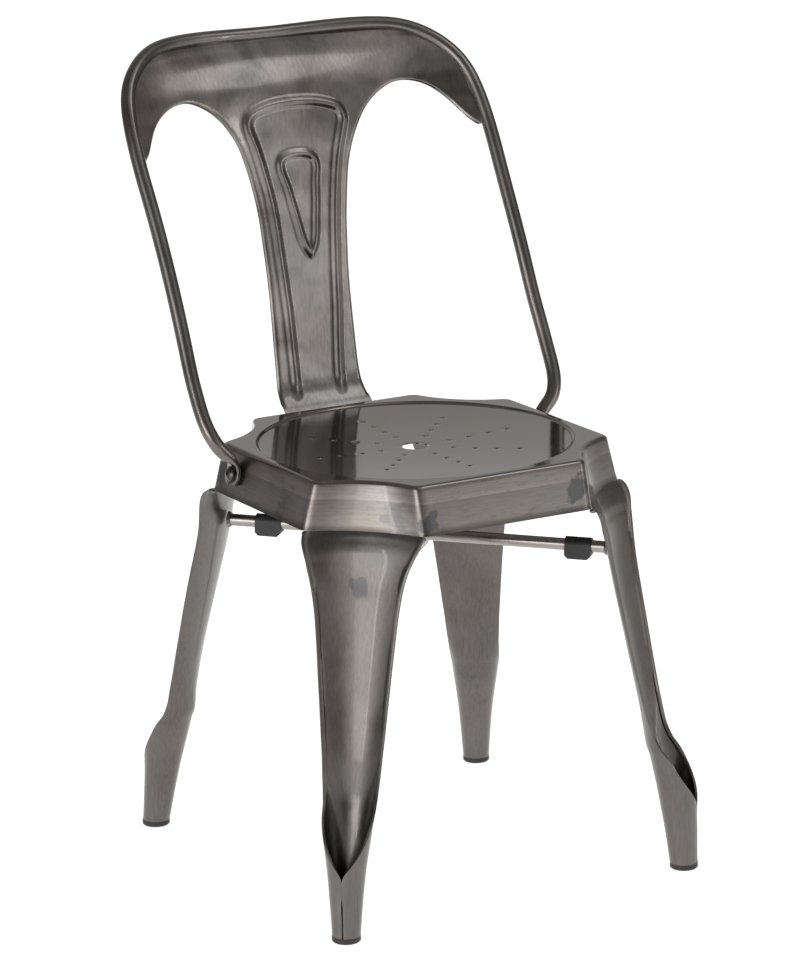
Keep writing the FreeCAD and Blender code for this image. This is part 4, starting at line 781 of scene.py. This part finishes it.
seat_mat = steel("seat_steel", base=0.165, warm=0.15, rough=0.11, brush=(1.0, 1.0, 1.0), contrast=0.10, coat=0.6, bump=0.004,
                 cloud=9.0, blotch=0.7)
# height bands on the skirt: painted shade under the rim bend (top 2 mm) and on the bottom lip (46.5 to 49 mm), a
# painted highlight line along the bend 17.5 mm down with painted shade just below it
skirt_mat = steel("skirt_steel", base=0.165, warm=0.10, rough=0.30, brush=(1.0, 1.0, 22.0), contrast=0.34, coat=0.4, bump=0.03,
                  cloud=17.0, blotch=0.42, specks=0.32,
                  painted_light_bands=[(2.0, 0.62), (6.0, 0.95), (14.0, 1.04), (17.5, 1.22), (19.0, 0.84), (30.0, 0.93), (43.0, 1.02), (46.5, 0.72), (49.0, 0.6)],
                  marks=[(m_(-90, -187, -36), 0.011, WELD_TONE, 0.8, 0.42), (m_(86, -186, -26), 0.013, WELD_TONE, 0.8, 0.42),
                         (m_(-120, -158, -30), 0.015, (0.095, 0.10, 0.106), 0.55, 0.34),
                         (m_(90, 187, -34), 0.013, WELD_TONE, 0.9, 0.4), (m_(-88, 187, -30), 0.013, WELD_TONE, 0.85, 0.4),
                         (m_(187, -92, -30), 0.013, WELD_TONE, 0.8, 0.4), (m_(-187, 92, -30), 0.013, WELD_TONE, 0.8, 0.4)])
leg_mat = steel("leg_steel", base=0.12, warm=0.09, rough=0.36, brush=(20.0, 20.0, 1.0), contrast=0.30, coat=0.4, bump=0.02,
                cloud=11.0, blotch=0.5, specks=0.12,
                marks=[(m_(-150, -143.5, -105), 0.0115, (0.072, 0.073, 0.077), 0.8, 0.40)])
hoop_mat = steel("hoop_steel", base=0.14, warm=0.08, rough=0.24, brush=(8.0, 8.0, 8.0), contrast=0.26, coat=0.45, bump=0.02,
                 cloud=18.0, blotch=0.6)
panel_mat = steel("panel_steel", base=0.16, warm=0.095, rough=0.20, brush=(14.0, 6.0, 2.2), contrast=0.50, coat=0.5, bump=0.015,
                  cloud=15.0, blotch=0.66)
bar_mat = steel("bar_steel", base=0.30, warm=0.08, rough=0.27, brush=(6.0, 6.0, 20.0), contrast=0.16, coat=0.4, bump=0.02,
                cloud=20.0, blotch=0.5)
dark_mat = steel("bolt_steel", base=0.07, warm=0.04, rough=0.28, brush=(10.0, 10.0, 10.0), contrast=0.3, coat=0.3, bump=0.03,
                 cloud=60.0, blotch=0.6)
weld_mat = steel("weld_bead_steel", base=0.16, warm=0.0, rough=0.3, brush=(60.0, 60.0, 60.0), contrast=0.75, coat=0.3, bump=0.35,
                 cloud=180.0, blotch=0.6)
rub_mat = rubber("black_rubber_look")

# ---------------------------------------------------------------------- pieces
ft = leg_table(FRONT_OPEN, FRONT_SHUT)
rt = leg_table(REAR_OPEN, REAR_SHUT)
for nm, tb, sx, sy in (("leg_front_left", ft, -1, -1), ("leg_front_right", ft, 1, -1),
                       ("leg_rear_left", rt, -1, 1), ("leg_rear_right", rt, 1, 1)):
    ob = leg_mesh(nm + "_sheet", tb, sx, sy)
    give(ob, leg_mat)
    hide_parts(nm)
    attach(ob, "root")

panel = panel_mesh()
give(panel, panel_mat)
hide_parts("back_panel")
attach(panel, "root")

hoop = hoop_mesh()
give(hoop, hoop_mat)
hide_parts("back_hoop")
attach(hoop, "root")

seat = seat_mesh()
seat.data.materials.clear()
seat.data.materials.append(seat_mat)
seat.data.materials.append(skirt_mat)
for p in seat.data.polygons:
    c = p.center
    if c.z < (RIM - 3.0) / 1000 and math.hypot(c.x, c.y + SHIFT / 1000) > 0.1685:
        p.material_index = 1
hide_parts("seat_pan")
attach(seat, "root")

SHOWN = {
    "brace_bar_upper": bar_mat, "brace_bar_lower": bar_mat,
    "hoop_bolts": dark_mat, "hoop_washers": dark_mat, "hoop_spacers": dark_mat, "hoop_inner_washers": dark_mat,
    "hoop_nuts": dark_mat, "splat_rivets": dark_mat, "corner_welds": weld_mat,
    "brace_collar_front_left": weld_mat, "brace_collar_front_right": weld_mat,
    "brace_collar_rear_left": weld_mat, "brace_collar_rear_right": weld_mat,
    "foot_cap_front_left": rub_mat, "foot_cap_front_right": rub_mat, "foot_cap_rear_left": rub_mat,
    "foot_cap_rear_right": rub_mat, "brace_pad_front_left": rub_mat, "brace_pad_front_right": rub_mat,
    "brace_pad_rear_left": rub_mat, "brace_pad_rear_right": rub_mat,
}
for nm, mt in SHOWN.items():
    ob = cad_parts[nm]
    give(ob, mt)
    if nm.startswith("brace_pad") or nm.startswith("foot_cap"):
        bv = ob.modifiers.new("soft_edges", "BEVEL")
        bv.width = 0.0006
        bv.segments = 3
        bv.limit_method = "ANGLE"
        bv.angle_limit = math.radians(35)
        bv.harden_normals = False

# ----------------------------------------------------------- floor and lights
bpy.ops.mesh.primitive_plane_add(size=40, location=(0, 0, -0.0005))
floor = bpy.context.object
floor.name = "floor"
fm = bpy.data.materials.new("floor_white")
fm.use_nodes = True
fb = fm.node_tree.nodes["Principled BSDF"]
fb.inputs["Base Color"].default_value = (0.92, 0.92, 0.92, 1)
fb.inputs["Roughness"].default_value = 0.9
fb.inputs["Specular IOR Level"].default_value = 0.1
fb.inputs["Emission Color"].default_value = (1, 1, 1, 1)
ft_ = fm.node_tree
fc = nd(ft_, "ShaderNodeTexCoord")
fdot = nd(ft_, "ShaderNodeVectorMath", operation="DOT_PRODUCT")
ft_.links.new(fc.outputs["Object"], fdot.inputs[0])
fdot.inputs[1].default_value = (0.8704, -0.4924, 0.0)
fab = nd(ft_, "ShaderNodeMath", operation="ABSOLUTE")
ft_.links.new(fdot.outputs["Value"], fab.inputs[0])
fmr = nd(ft_, "ShaderNodeMapRange", interpolation_type="SMOOTHSTEP")
fmr.inputs["From Min"].default_value = 1.0
fmr.inputs["From Max"].default_value = 2.6
fmr.inputs["To Min"].default_value = 0.80
fmr.inputs["To Max"].default_value = 0.25
ft_.links.new(fab.outputs[0], fmr.inputs["Value"])
ft_.links.new(fmr.outputs[0], fb.inputs["Emission Strength"])
floor.data.materials.append(fm)

world = bpy.data.worlds.new("studio")
bpy.context.scene.world = world
world.use_nodes = True
wt = world.node_tree
bg = wt.nodes["Background"]
wc = nd(wt, "ShaderNodeTexCoord")


def lobe(direction, start, full, amount):
    """Soft light patch of the surround around one direction."""
    d_ = Vector(direction).normalized()
    dt_ = nd(wt, "ShaderNodeVectorMath", operation="DOT_PRODUCT")
    wt.links.new(wc.outputs["Generated"], dt_.inputs[0])
    dt_.inputs[1].default_value = tuple(d_)
    mr_ = nd(wt, "ShaderNodeMapRange", interpolation_type="SMOOTHSTEP")
    mr_.inputs["From Min"].default_value = start
    mr_.inputs["From Max"].default_value = full
    mr_.inputs["To Min"].default_value = 0.0
    mr_.inputs["To Max"].default_value = amount / 2
    wt.links.new(dt_.outputs["Value"], mr_.inputs["Value"])
    return mr_.outputs[0]


total = None
for args in (((0.48, 0.84, 0.25), 0.72, 0.97, 0.16), ((0.5, -0.86, -0.05), 0.70, 0.98, 0.50),
             ((-0.9, -0.42, 0.02), 0.78, 0.98, 1.5), ((0.36, -0.42, 0.83), 0.84, 0.985, 0.44)):
    o_ = lobe(*args)
    if total is None:
        total = o_
    else:
        ad_ = nd(wt, "ShaderNodeMath", operation="ADD")
        wt.links.new(total, ad_.inputs[0])
        wt.links.new(o_, ad_.inputs[1])
        total = ad_.outputs[0]
wr = ramp(wt, total, [(0.0, (0.125, 0.1235, 0.1215)), (1.0, (1.125, 1.1135, 1.0925))])
wt.links.new(wr.outputs["Color"], bg.inputs[0])
bg.inputs[1].default_value = 2.0


def area(name, loc, target, size, power, size_y=None):
    ld = bpy.data.lights.new(name, "AREA")
    ld.energy = power
    ld.size = size
    if size_y:
        ld.shape = "RECTANGLE"
        ld.size_y = size_y
    lo = bpy.data.objects.new(name, ld)
    bpy.context.collection.objects.link(lo)
    lo.location = loc
    d = Vector(target) - Vector(loc)
    lo.rotation_euler = d.to_track_quat("-Z", "Y").to_euler()
    return lo


area("key", (-2.9, -1.6, 0.75), (0, 0, 0.35), 1.3, 11, 1.3)
area("front_high", (1.5, -0.9, 3.0), (0, 0, 0.7), 1.1, 5, 1.1)
area("fill", (1.7, -3.0, 0.75), (0, 0, 0.5), 0.5, 1.6, 1.0)
area("strip_right", (2.3, -2.5, 0.9), (0, 0, 0.6), 0.16, 5, 1.7)
area("strip_left", (-3.2, -0.9, 0.9), (0, 0, 0.6), 0.16, 6, 1.7)

# ---------------------------------------------------------------------- camera
# fitted to the photograph: position in local millimetres, rows right, down, forward
CAM_C = [-2170.4426, -3788.0401, 1091.8498]
CAM_R = [[0.86796006, -0.49631849, -0.01769982], [-0.13965186, -0.20971096, -0.96773895], [0.47659489, 0.84243057, -0.25133254]]
cd = bpy.data.cameras.new("camera")
cd.sensor_width = 36
cd.sensor_fit = "AUTO"
cd.lens = 4313.1 * 36 / 955
cd.clip_end = 100
cam = bpy.data.objects.new("camera", cd)
bpy.context.collection.objects.link(cam)
M = Matrix.Identity(4)
for i in range(3):
    M[i][0] = CAM_R[0][i]
    M[i][1] = -CAM_R[1][i]
    M[i][2] = -CAM_R[2][i]
    M[i][3] = float(row(CAM_C)[i])
cam.matrix_world = M
bpy.context.scene.camera = cam
bpy.context.scene.view_settings.view_transform = "Standard"
bpy.context.scene.view_settings.look = "None"
